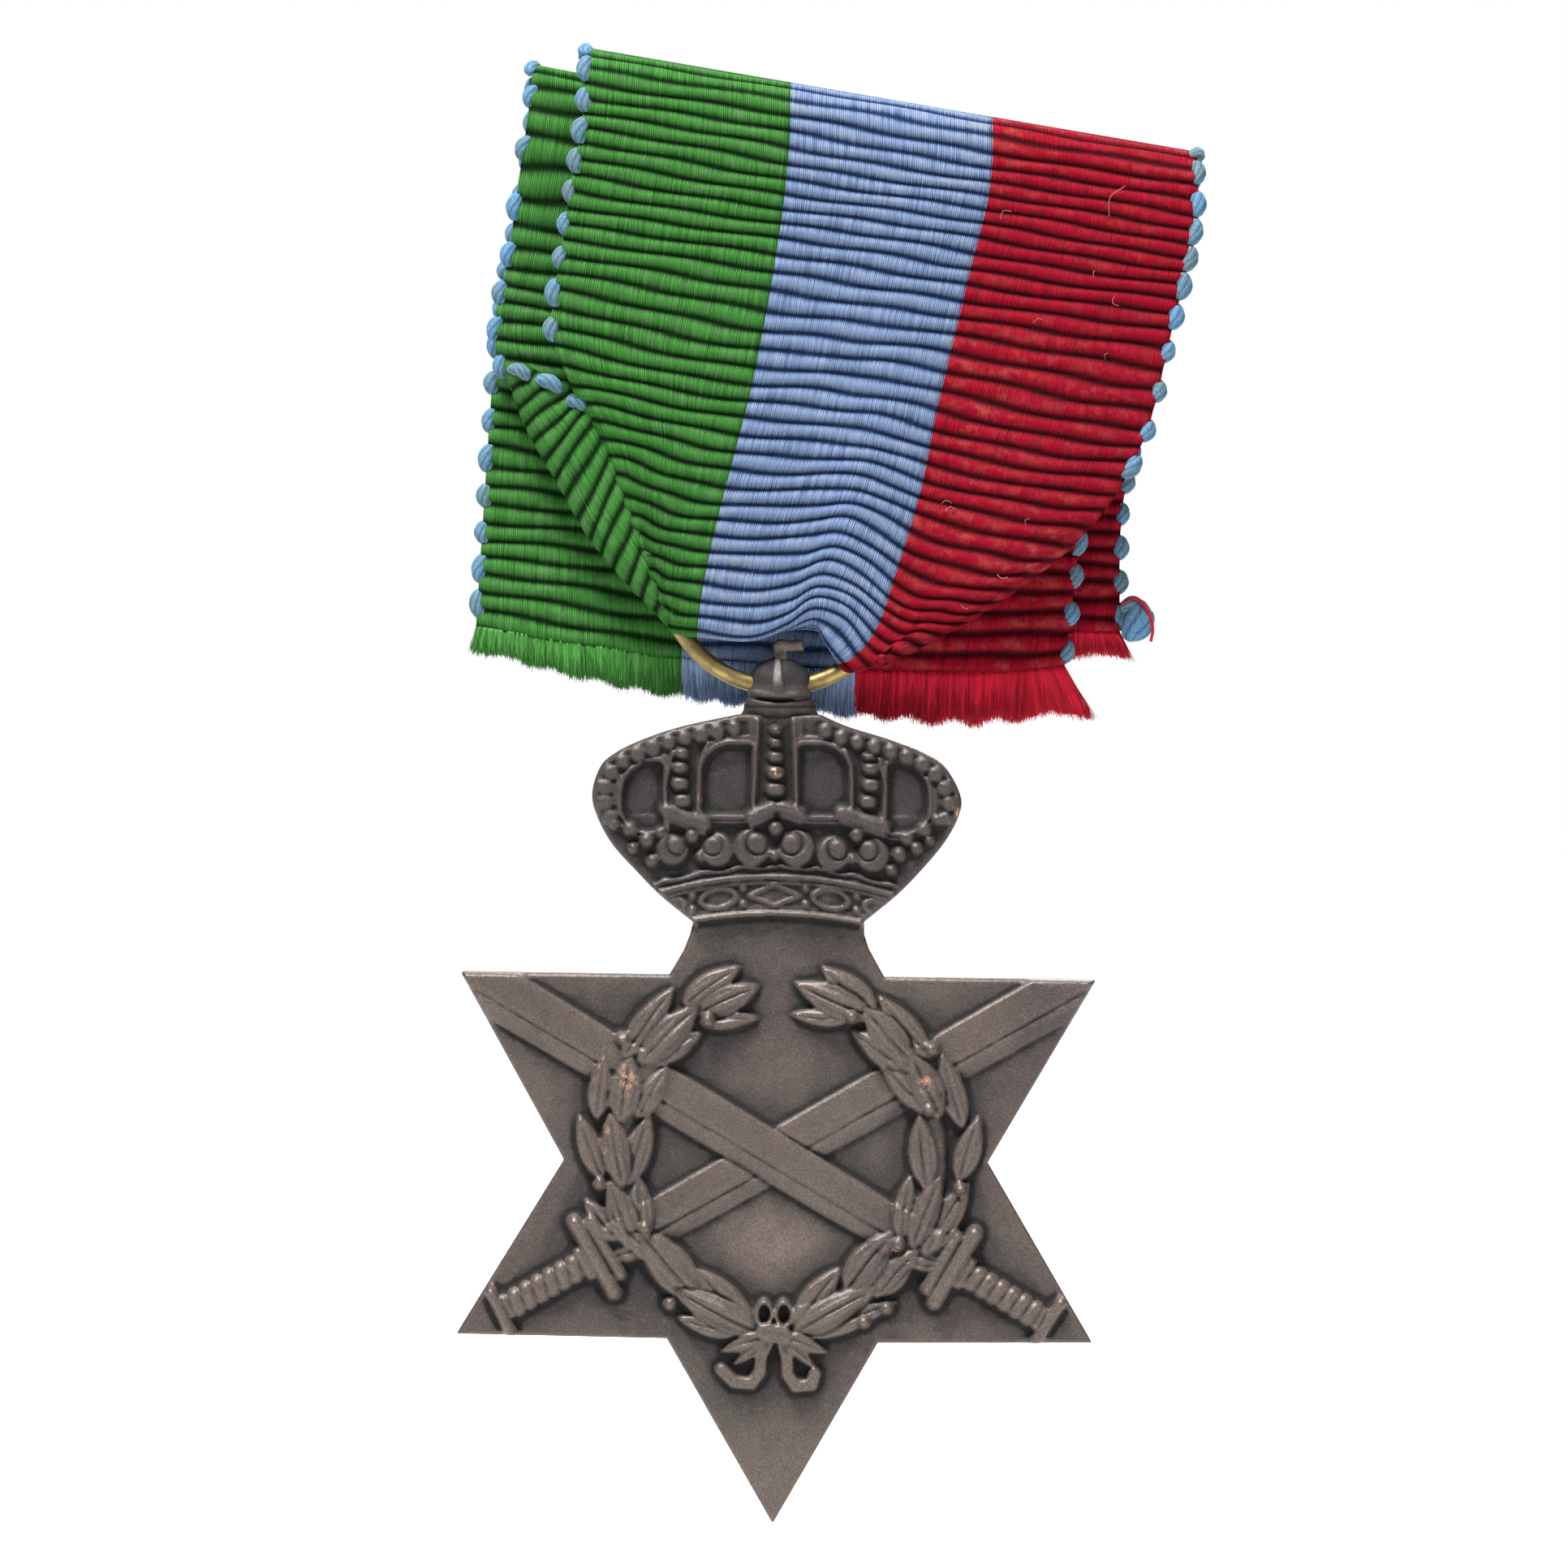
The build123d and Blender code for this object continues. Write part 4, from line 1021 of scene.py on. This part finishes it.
def ribbon_rows():
    """The strip's rows, in order; outer and inner are where the two loops' ends lie in x."""
    outer = (-12.6, 26.2)
    inner = (-16.1, 22.3)

    def top(ends, rise):
        """Ends of a row that lies along the sloping top."""
        return tuple((x, rise - x * SLOPE) for x in ends)

    return [
        # outer tail, from its frayed end up
        straight_row(0, OUTER_Y, (-16.9, -31.8), (21.8, -32.6), -0.1),
        straight_row(7, OUTER_Y + 0.1, (-16.3, -23.6), (21.9, -24.9)),
        straight_row(16, OUTER_Y - 0.05, (-14.9, -12.9), (23.7, -15.8)),
        straight_row(25, OUTER_Y, *top(outer, -1.6)),
        # outer loop
        straight_row(27.5, OUTER_Y - 0.3, *top(outer, 1.2)),
        straight_row(29.2, 0.2, *top(outer, 2.1)),
        straight_row(31.0, -1.3, *top(outer, 2.2)),
        straight_row(32.7, FRONT_Y + 0.25, *top(outer, 1.2)),
        # front fall
        straight_row(34.3, FRONT_Y - 0.05, *top(outer, -0.4)),
        bent_row(44, FRONT_Y, (-13.9, -0.6, 3.6, 5.8, 8.0, 9.7, 11.4, 18.2, 24.6),
                 (-7.9, -10.0, -10.5, -10.8, -11.1, -11.35, -11.6, -12.7, -13.5),
                 (0.0, -0.1, 0.0, -0.1, -0.2, -0.1, 0.0, -0.1, 0.05)),
        bent_row(50, FRONT_Y, (-14.4, -1.9, 2.2, 4.3, 6.4, 8.1, 9.8, 17.0, 22.7),
                 (-14.6, -17.1, -17.4, -17.7, -17.9, -18.2, -18.6, -20.1, -20.8),
                 (0.1, -0.15, 0.0, -0.1, -0.3, -0.2, -0.05, -0.2, 0.1)),
        bent_row(55, FRONT_Y, (-11.5, -3.2, 0.9, 3.1, 5.3, 7.0, 8.7, 15.0, 19.6),
                 (-20.4, -22.4, -22.6, -22.6, -22.8, -23.4, -24.1, -25.6, -25.9),
                 (0.15, -0.2, -0.1, -0.2, -0.45, -0.3, -0.1, -0.25, 0.15)),
        bent_row(60, FRONT_Y, (-9.4, -4.5, -0.5, 1.6, 3.6, 5.4, 7.1, 11.2, 13.9),
                 (-26.2, -27.7, -27.9, -27.7, -27.3, -28.1, -29.4, -30.6, -30.6),
                 (0.0, -0.25, -0.15, -0.3, -0.6, -0.4, -0.15, -0.3, 0.1)),
        bent_row(63.5, FRONT_Y, (-7.8, -5.1, -1.1, 0.75, 2.5, 4.3, 6.1, 8.6, 10.0),
                 (-30.2, -31.2, -31.4, -30.9, -30.1, -30.7, -32.3, -33.0, -33.0),
                 (-0.1, -0.3, -0.1, -0.3, -0.75, -0.6, -0.2, -0.35, 0.0)),
        bent_row(65.5, FRONT_Y, (-6.6, -5.25, -1.4, 0.5, 2.3, 3.9, 5.1, 6.6, 7.4),
                 (-32.1, -32.8, -33.05, -32.3, -31.5, -32.2, -33.8, -34.2, -34.3),
                 (0.0, -0.1, 0.15, 0.0, -0.6, -0.5, -0.3, -0.3, 0.0)),
        # the fan of pleats turned under beside the cross
        bent_row(66.7, FRONT_Y, (-6.0, -5.1, -1.4, 0.35, 2.3, 3.1, 4.2, 5.6, 6.3),
                 (-32.3, -32.85, -32.95, -32.4, -32.1, -33.3, -34.5, -34.7, -34.8),
                 (0.4, 0.35, 0.3, 0.3, -0.1, -0.25, -0.1, 0.0, 0.2)),
        bent_row(68.0, FRONT_Y, (-5.5, -4.9, -1.3, 0.2, 2.3, 3.1, 3.7, 4.7, 5.3),
                 (-32.1, -32.5, -32.6, -32.2, -32.1, -33.2, -34.4, -34.7, -34.7),
                 (0.9, 0.9, 1.0, 1.0, 0.6, 0.35, 0.45, 0.6, 0.7)),
        # through the ring
        bent_row(70.0, MEDAL_Y, (-4.6, -4.2, -0.9, 0.3, 2.0, 3.1, 3.7, 4.2, 4.6),
                 (-32.3, -32.4, -32.4, -32.1, -32.0, -32.5, -33.2, -33.2, -33.1)),
        # rear fall
        bent_row(72.0, REAR_Y, (-5.4, -4.8, -1.2, 0.1, 1.7, 3.1, 4.3, 4.9, 5.4),
                 (-32.3, -32.5, -32.5, -32.3, -32.2, -32.4, -32.5, -32.5, -32.3)),
        bent_row(78.0, REAR_Y, (-11.4, -4.9, -1.1, 0.8, 2.7, 4.4, 6.2, 11.4, 15.6),
                 (-25.0, -26.0, -26.2, -26.3, -26.3, -26.2, -26.0, -26.0, -25.6)),
        bent_row(84.5, REAR_Y, (-17.9, -4.9, -0.8, 1.2, 3.3, 5.3, 7.2, 14.0, 20.0),
                 (-15.9, -17.6, -18.0, -18.2, -18.5, -18.8, -19.0, -19.4, -19.8)),
        straight_row(91.5, REAR_Y, (-17.3, -7.4), (21.1, -13.0)),
        straight_row(97.4, REAR_Y, *top(inner, -0.3)),
        # inner loop
        straight_row(98.5, -0.25, *top(inner, 0.62)),
        straight_row(99.6, 0.45, *top(inner, 0.55)),
        # inner tail
        straight_row(100.6, INNER_Y, *top(inner, -0.5)),
        straight_row(114, INNER_Y + 0.05, (-18.3, -13.6), (20.2, -18.9)),
        straight_row(124, INNER_Y, (-19.1, -25.6), (19.0, -27.6), 0.5),
        bent_row(130, INNER_Y, (-19.5, -6.3, -2.5, -0.6, 1.3, 3.0, 4.8, 11.5, 18.2),
                 (-32.5, -34.4, -34.7, -34.8, -35.0, -35.1, -35.1, -35.2, -34.8)),
    ]


ROWS = ribbon_rows()
ROW_RIBS = np.array([r for r, _ in ROWS])
ROW_POINTS = np.array([p for _, p in ROWS])
STRIP_RIBS = ROW_RIBS[-1]
EDGE_SHOWN = {  # stretches, in ribs, where a selvedge is out in the open
    0.0: ((0.5, 50.6), (84.0, 130)),
    1.0: ((0.5, 53.4), (84.5, 130)),
}


FOLD_ROLL, FOLD_SHARE = 0.55, 0.045    # how far a folded margin curls back, over what share across


def folded(ribs, across):
    """1 on the front fall's margins where they are folded under, fading away inwards."""
    share = np.zeros((len(ribs), len(across)))
    for edge, low, high in ((0.0, 51.0, 60.5), (1.0, 54.5, 60.5)):
        along = smooth(low, low + 2.5, ribs) * smooth(high + 2.5, high, ribs)
        share += along[:, None] * (1 - smooth(0.0, FOLD_SHARE, np.abs(across - edge)))[None, :]
    return share


def strip_points(ribs, across):
    """Middle surface of the ribbon at a grid of rib numbers and shares across."""
    by_row = curve_through(ROW_RIBS, ROW_POINTS, ribs)
    points = np.stack([curve_through(ACROSS, row, across) for row in by_row])
    points[..., 1] += FOLD_ROLL * folded(ribs, np.asarray(across)) ** 2
    return points


def rib_lift(ribs, across):
    """0 in the valley between ribs, 1 on a rib's crest."""
    wander = 0.10 * np.sin(9.0 * across + 0.7 * ribs) + 0.06 * np.sin(31 * across + 1.9 * ribs)
    wave = np.abs(np.sin(np.pi * (ribs + wander)))
    return wave ** 0.85


def surface_normals(points):
    """Unit normals of a grid of points."""
    du = np.gradient(points, axis=1)
    dv = np.gradient(points, axis=0)
    normal = np.cross(du, dv)
    return normal / (np.linalg.norm(normal, axis=-1, keepdims=True) + 1e-9)


def closed_sheet(middle, half_thick, cloth):
    """A closed cloth shell: both faces of a grid and its four edges."""
    rows, columns = middle.shape[:2]
    normal = surface_normals(middle)
    front = middle + normal * half_thick[..., None]
    back = middle - normal * half_thick[..., None]
    vertices = np.concatenate([front.reshape(-1, 3), back.reshape(-1, 3)])
    count = rows * columns
    faces = grid_faces(rows, columns) + grid_faces(rows, columns, count, flip=True)
    index = np.arange(count).reshape(rows, columns)
    rim = np.concatenate([index[0, :-1], index[:-1, -1], index[-1, :0:-1], index[:0:-1, 0]])
    for a, b in zip(rim, np.roll(rim, -1)):
        faces.append([int(b), int(a), int(a) + count, int(b) + count])
    return vertices, faces, np.concatenate([cloth.reshape(-1, 3)] * 2)


def cloth_piece(name, shells):
    """One cloth object from one or more closed shells."""
    piece = make_object(name, *joined([shell[:2] for shell in shells]))
    add_vectors(piece, "cloth", np.concatenate([shell[2] for shell in shells]))
    return piece


STEPS_PER_RIB = 8
WIDTH = 38.0               # of the whole strip, laid flat


def build_strip(colour):
    """One colour's share of the strip, thick on its ribs and thin in the valleys."""
    start, end = STRIPES[colour]
    ribs = np.linspace(0, STRIP_RIBS, int(STRIP_RIBS * STEPS_PER_RIB) + 1)
    across = np.linspace(start, end, 31)
    middle = strip_points(ribs, across)
    r, t = np.meshgrid(ribs, across, indexing="ij")
    lift = rib_lift(r, t)
    spacing = np.linalg.norm(np.gradient(middle, ribs, axis=0), axis=-1)
    pressed = np.clip(spacing / 1.05, 0.22, 1.0) - 0.45 * np.exp(-((r - 31) / 2.0) ** 2)
    margin = 1 - smooth(0.0, 0.05, np.minimum(t, 1 - t))
    gathered = margin * smooth(51.0, 56.0, r) * smooth(76.0, 72.0, r)
    turned_under = smooth(65.3, 66.5, r) * smooth(76.0, 73.5, r) \
        * (smooth(0.68, 0.76, t) + smooth(0.32, 0.24, t))
    thick = 0.09 + 0.30 * lift * pressed * (1 - 0.75 * gathered) * (1 - 0.92 * turned_under)
    cloth = np.stack([t * WIDTH, r * RIB, lift], -1)
    shells = [closed_sheet(middle, thick, cloth)]
    if colour == "green":
        shells.append(margin_shell())
    return cloth_piece(f"ribbon_{colour}", shells)


def margin_shell():
    """The rear fall's left margin, turned forward; its ribs run steeply."""
    count = 15.0
    ribs = np.linspace(0, count, int(count * STEPS_PER_RIB) + 1)
    share = np.linspace(0, 1, 22)
    knots = np.linspace(0, count, 6)
    outer = curve_through(knots, [
        (-17.4, -2.15, -16.3), (-16.2, -2.2, -19.7), (-14.4, -2.25, -22.9),
        (-12.1, -2.35, -26.8), (-9.6, -2.6, -29.7), (-7.0, -2.75, -32.3)], ribs)
    inner = curve_through(knots, [
        (-16.6, -1.7, -15.9), (-13.2, -1.75, -17.2), (-11.2, -1.8, -18.2),
        (-9.6, -2.0, -21.6), (-8.1, -2.55, -25.6), (-6.0, -2.65, -29.2)], ribs)
    s = share[None, :, None]
    middle = outer[:, None] * (1 - s) + inner[:, None] * s
    roll = 0.45 * (1 - smooth(0.0, 0.22, share))[None, :]
    middle[..., 1] += roll
    middle[..., 1] -= 0.25 * np.sin(np.pi * share)[None, :]
    r, t = np.meshgrid(ribs, share, indexing="ij")
    lift = rib_lift(r, t * 0.2)
    cloth = np.stack([t * 6.0, r * RIB, lift], -1)
    return closed_sheet(middle[:, ::-1], (0.12 + 0.22 * lift)[:, ::-1], cloth[:, ::-1])


# ---------------------------------------------------------------- picots and frayed ends

def yarn_bulb(centre, along, outward, length, width, turns):
    """One loop of twisted weft: a fat spindle with spiral grooves."""
    rows, columns = 21, 24
    along = along / np.linalg.norm(along)
    outward = outward - along * outward.dot(along)
    outward /= np.linalg.norm(outward)
    third = np.cross(along, outward)
    t = np.linspace(-1, 1, rows)
    a = np.linspace(0, 2 * np.pi, columns, endpoint=False)
    tt, aa = np.meshgrid(t, a, indexing="ij")
    twist = 0.5 + 0.5 * np.cos(6 * aa - turns * tt * np.pi)
    r = (1 - np.abs(tt) ** 2.3) ** 0.5 * width / 2 * (0.86 + 0.14 * np.sqrt(twist)) + 0.02
    bow_out = 0.20 * (1 - tt**2)
    points = (centre + along * (tt * length / 2)[..., None]
              + outward * (bow_out + r * np.cos(aa))[..., None] + third * (r * np.sin(aa))[..., None])
    return points.reshape(-1, 3), tube_faces(rows, columns, flip=True), twist.ravel()


def yarn_piece(name, bulbs):
    """One yarn object from several bulbs."""
    piece = make_object(name, *joined([bulb[:2] for bulb in bulbs]))
    add_numbers(piece, "twist", np.concatenate([bulb[2] for bulb in bulbs]))
    return piece


def build_picots(name, spots):
    """A selvedge's loops of weft, each a little different."""
    bulbs = []
    for centre, along, outward in spots:
        length, width = 1.80 + dice.uniform(-0.25, 0.2), 0.98 + dice.uniform(-0.14, 0.12)
        along = along / np.linalg.norm(along)
        along = along + outward / np.linalg.norm(outward) * dice.uniform(-0.28, 0.12)
        bulbs.append(yarn_bulb(centre, along, outward, length, width, dice.uniform(1.5, 2.4)))
    return yarn_piece(name, bulbs)


def edge_spots(edge):
    """Places along one selvedge, one for every second rib."""
    spots = []
    inside = 0.04 if edge < 0.5 else 0.96
    for low, high in EDGE_SHOWN[edge]:
        for rib in np.arange(low + 0.6, high - 0.6, 2.0):
            here = strip_points(np.array([rib - 0.4, rib, rib + 0.4]), np.array([edge, inside]))
            outward = here[1, 0] - here[1, 1]
            outward /= np.linalg.norm(outward)
            spots.append((here[1, 0] - outward * 0.12, here[2, 0] - here[0, 0], outward))
    return spots


def margin_spots():
    """The turned margin's selvedge runs across its top."""
    places = [(-16.7, -2.4, -16.4), (-14.8, -2.3, -17.1), (-13.0, -2.2, -18.3)]
    return [(np.array(p), np.array((0.9, 0.0, -0.38)), np.array((0.35, -0.1, 0.9))) for p in places]


FRINGE_THREADS = 2100      # loose threads at one end of one stripe


def flare(share):
    """How far the fringe leans outwards near the selvedges."""
    return 0.55 * smooth(0.93, 1.0, share) - 0.25 * smooth(0.07, 0.0, share)


def build_fringe(name, rib, share_from, share_to, lengths, seed):
    """Loose warp threads hanging from the end row of a tail, before a matted layer of them."""
    local = np.random.default_rng(seed)

    def drawn(shares, scale, spread):
        """Lengths of the threads at these shares across."""
        length = scale * np.interp(shares, np.linspace(0, 1, len(lengths)), lengths)
        return length * (1 + 0.07 * np.sin(shares * 90)) + local.normal(0, spread, len(shares))

    count = FRINGE_THREADS
    shares = np.sort(local.uniform(share_from, share_to, count))
    feet = strip_points(np.array([rib]), shares)[0]
    segments, sides = 6, 3
    t = np.linspace(0, 1, segments)
    a = np.linspace(0, 2 * np.pi, sides, endpoint=False)
    reach = drawn(shares, 1.0, 0.13)
    vertices, tones, faces = [], [], []
    for k in range(count):
        lean = local.normal(0, 0.045) + flare(shares[k]) + 0.05 * math.sin(shares[k] * 40)
        curl = local.normal(0, 0.09)
        depth = local.uniform(-0.14, 0.24)
        width = local.uniform(0.022, 0.042)
        x = feet[k, 0] + lean * reach[k] * t + curl * t**2
        y = feet[k, 1] + depth + local.normal(0, 0.12) * t
        z = feet[k, 2] + 0.25 - (reach[k] + 0.25) * t
        w = width * (1 - 0.55 * t**3)
        ring = np.stack([x[:, None] + w[:, None] * np.cos(a), y[:, None] + w[:, None] * np.sin(a),
                         np.repeat(z[:, None], sides, axis=1)], -1)
        base = k * segments * sides
        faces += tube_faces(segments, sides, base, flip=True)
        vertices.append(ring.reshape(-1, 3))
        tones.append(np.full(segments * sides, local.uniform(0, 1)) * 0.8
                     + 0.2 * np.repeat(t, sides))
    base = count * segments * sides
    columns = int((share_to - share_from) * WIDTH / 0.085)
    shares = np.linspace(share_from, share_to, columns)
    feet = strip_points(np.array([rib]), shares)[0]
    reach = drawn(shares, 0.95, 0.10)
    t = np.linspace(0, 1, 8)[:, None]
    middle = np.stack([feet[:, 0] + flare(shares) * reach * t, feet[:, 1] + 0.08 * t,
                       feet[:, 2] + 0.2 - (reach + 0.2) * t], -1)
    thick = (0.25 - 0.12 * t) * (1 + 0.35 * local.uniform(-1, 1, columns))
    body, quads, _ = closed_sheet(middle, thick, np.zeros(middle.shape))
    vertices.append(body)
    faces += [[i + base for i in quad] for quad in quads]
    tones.append(np.tile(local.uniform(0.25, 1, columns), 2 * len(t)))
    piece = make_object(name, np.concatenate(vertices), faces)
    add_numbers(piece, "tone", np.concatenate(tones))
    return piece


KNOT_X, KNOT_Z = 22.7, -31.7


def build_knot():
    """The outer tail's weft end, knotted at its right corner."""
    x, z = KNOT_X, KNOT_Z
    spots = [((x, OUTER_Y - 0.3, z + 0.1), (0.2, 0.0, 1.0), (1.0, -0.2, 0.0), 2.9, 1.95),
             ((x + 0.45, OUTER_Y - 0.55, z - 0.2), (0.5, 0.0, 1.0), (0.6, -0.6, 0.0), 2.3, 1.3),
             ((x - 0.2, OUTER_Y - 0.5, z + 1.0), (0.9, 0.0, 0.5), (0.2, -0.6, 1.0), 1.5, 0.9)]
    return yarn_piece("corner_knot", [
        yarn_bulb(np.array(centre), np.array(along), np.array(outward), length, width, 1.3)
        for centre, along, outward, length, width in spots])


def thread_tube(points, radius, sides=6):
    """A loose thread through points, as tube vertices and faces."""
    points = curve_through(np.arange(len(points)), np.array(points, float),
                           np.linspace(0, len(points) - 1, 8 * len(points)))
    ahead = np.gradient(points, axis=0)
    ahead /= np.linalg.norm(ahead, axis=1, keepdims=True)
    side = np.cross(ahead, (0.0, 1.0, 0.0))
    side /= np.linalg.norm(side, axis=1, keepdims=True)
    up = np.cross(side, ahead)
    a = np.linspace(0, 2 * np.pi, sides, endpoint=False)[:, None]
    rings = points[:, None] + radius * (np.cos(a) * side[:, None] + np.sin(a) * up[:, None])
    return rings.reshape(-1, 3), tube_faces(len(points), sides)


def build_knot_thread():
    """A red warp thread caught over the knot."""
    x, z, y = KNOT_X, KNOT_Z, OUTER_Y - 1.25
    points = [(x - 0.9, y + 0.5, z + 1.1), (x + 0.1, y + 0.1, z + 1.45), (x + 0.9, y, z + 0.5),
              (x + 1.15, y + 0.1, z - 0.5), (x + 1.05, y + 0.3, z - 1.3)]
    vertices, faces = thread_tube(points, 0.10)
    thread = make_object("knot_thread", vertices, faces)
    add_numbers(thread, "tone", np.full(len(vertices), 0.6))
    return thread


LINT_HAIRS = 11


def build_lint():
    """Short hairs caught on the red cloth, and one longer curled thread near the top."""
    local = np.random.default_rng(77)
    hairs = []
    for k in range(LINT_HAIRS):
        rib, share = local.uniform(36, 61), local.uniform(0.69, 0.95)
        length, turn = local.uniform(0.4, 1.0), local.uniform(0, math.pi)
        radius = 0.018
        if k == 0:
            rib, share, length, turn, radius = 35.9, 0.87, 2.2, 1.1, 0.028
        start = strip_points(np.array([rib]), np.array([share]))[0, 0]
        start[1] -= 0.42
        side = np.array([math.cos(turn), 0, math.sin(turn)])
        curl = np.array([-side[2], 0, side[0]]) * local.uniform(0.15, 0.4) * length
        lift = np.array([0, -0.12, 0])
        points = [start - side * length / 2, start + curl + lift, start + side * length / 2]
        hairs.append(thread_tube(points, radius))
    lint = make_object("lint_hairs", *joined(hairs))
    add_numbers(lint, "tone", np.linspace(0, 1, len(lint.data.vertices)))
    return lint


# ---------------------------------------------------------------- put together

def finish_piece(piece, material, body, slot, *nodes):
    piece.data.materials.clear()
    piece.data.materials.append(material)
    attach(piece, body)
    if nodes:
        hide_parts(*nodes)


bronze = bronze_material()
finish_piece(build_medal(), bronze, "medal", "struck_bronze", "star_plate", "left_blade_sword",
             "right_blade_sword", "laurel_branch_left", "laurel_branch_right", "wreath_bow",
             "crown_cap", "crown_arches", "crown_arch_beads", "crown_leaves", "crown_band")
finish_piece(build_orb(), bronze, "medal", "struck_bronze", "orb_and_cross")
finish_piece(build_cross(), bronze, "medal", "struck_bronze")
finish_piece(build_ring(), brass_material(), "ring", "ring_brass", "suspension_ring")

CLOTH_COLOURS = {  # valley (painted shade in rib valleys and between threads), middle, light, worn tint and its share
    "green": ((0.002, 0.014, 0.0015, 1), (0.017, 0.098, 0.011, 1), (0.056, 0.215, 0.042, 1),
              (0.10, 0.16, 0.08, 1), 0.35),
    "blue": ((0.007, 0.020, 0.060, 1), (0.078, 0.123, 0.235, 1), (0.215, 0.285, 0.44, 1),
             (0.22, 0.245, 0.27, 1), 0.65),
    "red": ((0.030, 0.0, 0.002, 1), (0.165, 0.0004, 0.007, 1), (0.31, 0.002, 0.017, 1),
            (0.27, 0.055, 0.040, 1), 0.60),
}
LAYER_NAMES = ("front_fall", "rear_fall", "inner_tail", "outer_tail", "outer_loop", "inner_loop")
sheets = {}
for colour in STRIPES:
    woven = cloth_material(f"ribbon_{colour}", *CLOTH_COLOURS[colour])
    sheets[colour] = build_strip(colour)
    nodes = [f"{layer}_{colour}" for layer in LAYER_NAMES]
    nodes += {"green": ["rear_fall_turned_margin"], "blue": ["ribbon_bight"]}.get(colour, [])
    finish_piece(sheets[colour], woven, "ribbon", f"ribbon_{colour}", *nodes)

yarn = yarn_material()
for side, edge in (("left", 0.0), ("right", 1.0)):
    spots = edge_spots(edge) + (margin_spots() if side == "left" else [])
    picots = build_picots(f"picots_{side}", spots)
    finish_piece(picots, yarn, "ribbon", "picot_blue",
                 *[f"{layer}_picots_{side}" for layer in LAYER_NAMES[:4]])

FRINGE_TONES = {"green": ((0.010, 0.070, 0.006, 1), (0.065, 0.26, 0.045, 1)),
                "blue": ((0.10, 0.155, 0.28, 1), (0.30, 0.41, 0.64, 1)),
                "red": ((0.22, 0.0, 0.007, 1), (0.55, 0.003, 0.028, 1))}
INNER_LENGTHS = [1.3, 2.0, 2.3, 2.5, 2.7, 3.1, 2.9]
OUTER_LENGTHS = [1.6, 1.5, 1.4, 1.5, 1.4, 1.5, 1.3]
FRAYED_ENDS = (("inner_tail", STRIP_RIBS, INNER_LENGTHS), ("outer_tail", 0.0, OUTER_LENGTHS))
for number, (colour, (start, end)) in enumerate(STRIPES.items()):
    threads = thread_material(f"fringe_{colour}", *FRINGE_TONES[colour])
    for tail, rib, lengths in FRAYED_ENDS:
        fringe = build_fringe(f"{tail}_fringe_threads_{colour}", rib, start, end, lengths,
                              number + 10 * len(tail) + int(rib))
        finish_piece(fringe, threads, "ribbon", f"ribbon_{colour}", f"{tail}_fringe_{colour}")

finish_piece(build_knot(), yarn, "ribbon", "picot_blue")
finish_piece(build_knot_thread(), threads, "ribbon", "ribbon_red")
lint_threads = thread_material("lint", (0.26, 0.07, 0.06, 1), (0.40, 0.18, 0.15, 1))
finish_piece(build_lint(), lint_threads, "ribbon", "ribbon_red")


# ---------------------------------------------------------------- floor, light, camera

def build_floor():
    mesh = bpy.data.meshes.new("floor")
    size, z = 3.0, CAD_BOX[0].z - 0.004
    mesh.from_pydata([(-size, -size, z), (size, -size, z), (size, size, z), (-size, size, z)],
                     [], [(0, 1, 2, 3)])
    floor = bpy.data.objects.new("floor", mesh)
    bpy.context.scene.collection.objects.link(floor)
    m = Nodes("white_floor")
    m.set(Base_Color=(0.8, 0.8, 0.8, 1), Roughness=0.9, Emission_Color=(1, 1, 1, 1))
    m.put(m.shader.inputs["Emission Strength"], m.new("ShaderNodeLightPath").outputs[0])
    mesh.materials.append(m.material)


def build_light(name, location, target, size, watts):
    data = bpy.data.lights.new(name, "AREA")
    data.shape, data.size, data.energy = "DISK", size, watts
    lamp = bpy.data.objects.new(name, data)
    bpy.context.scene.collection.objects.link(lamp)
    lamp.location = location
    direction = np.array(target) - np.array(location)
    lamp.rotation_euler = mathutils.Vector(direction).to_track_quat("-Z", "Y").to_euler()


def build_world():
    world = bpy.data.worlds.new("studio")
    world.use_nodes = True
    tree = world.node_tree
    seen = tree.nodes.new("ShaderNodeLightPath").outputs["Is Camera Ray"]
    strength = tree.nodes.new("ShaderNodeMapRange")
    strength.inputs[3].default_value, strength.inputs[4].default_value = AMBIENT, 1.0
    tree.links.new(seen, strength.inputs[0])
    tree.nodes["Background"].inputs[0].default_value = (1, 1, 1, 1)
    tree.links.new(strength.outputs[0], tree.nodes["Background"].inputs[1])
    bpy.context.scene.world = world


AMBIENT = 0.12             # how brightly the white surroundings light the medal
PICTURE_WIDTH = 99.6       # millimetres across the picture at the medal's plane
CENTRE_X, CENTRE_Z = 0.30, -42.3
LENS, SENSOR, ROLL = 100.0, 36.0, 0.4


def build_camera():
    data = bpy.data.cameras.new("camera")
    data.lens, data.sensor_width = LENS, SENSOR
    data.clip_start, data.clip_end = 0.01, 20.0
    camera = bpy.data.objects.new("camera", data)
    bpy.context.scene.collection.objects.link(camera)
    distance = PICTURE_WIDTH * LENS / SENSOR
    camera.location = (CENTRE_X * MM, (MEDAL_Y - distance) * MM, CENTRE_Z * MM)
    camera.rotation_euler = (math.radians(90), math.radians(-ROLL), 0)
    bpy.context.scene.camera = camera


build_floor()
build_world()
TARGET = (0.0, 0.0, -0.045)
build_light("key", (-0.11, -0.17, 0.40), TARGET, 0.17, 6.6)
build_light("fill", (0.35, -0.35, 0.05), TARGET, 0.35, 0.5)
build_light("back", (0.10, 0.45, 0.25), TARGET, 0.35, 2.0)
build_camera()
bpy.context.scene.view_settings.view_transform = "Standard"
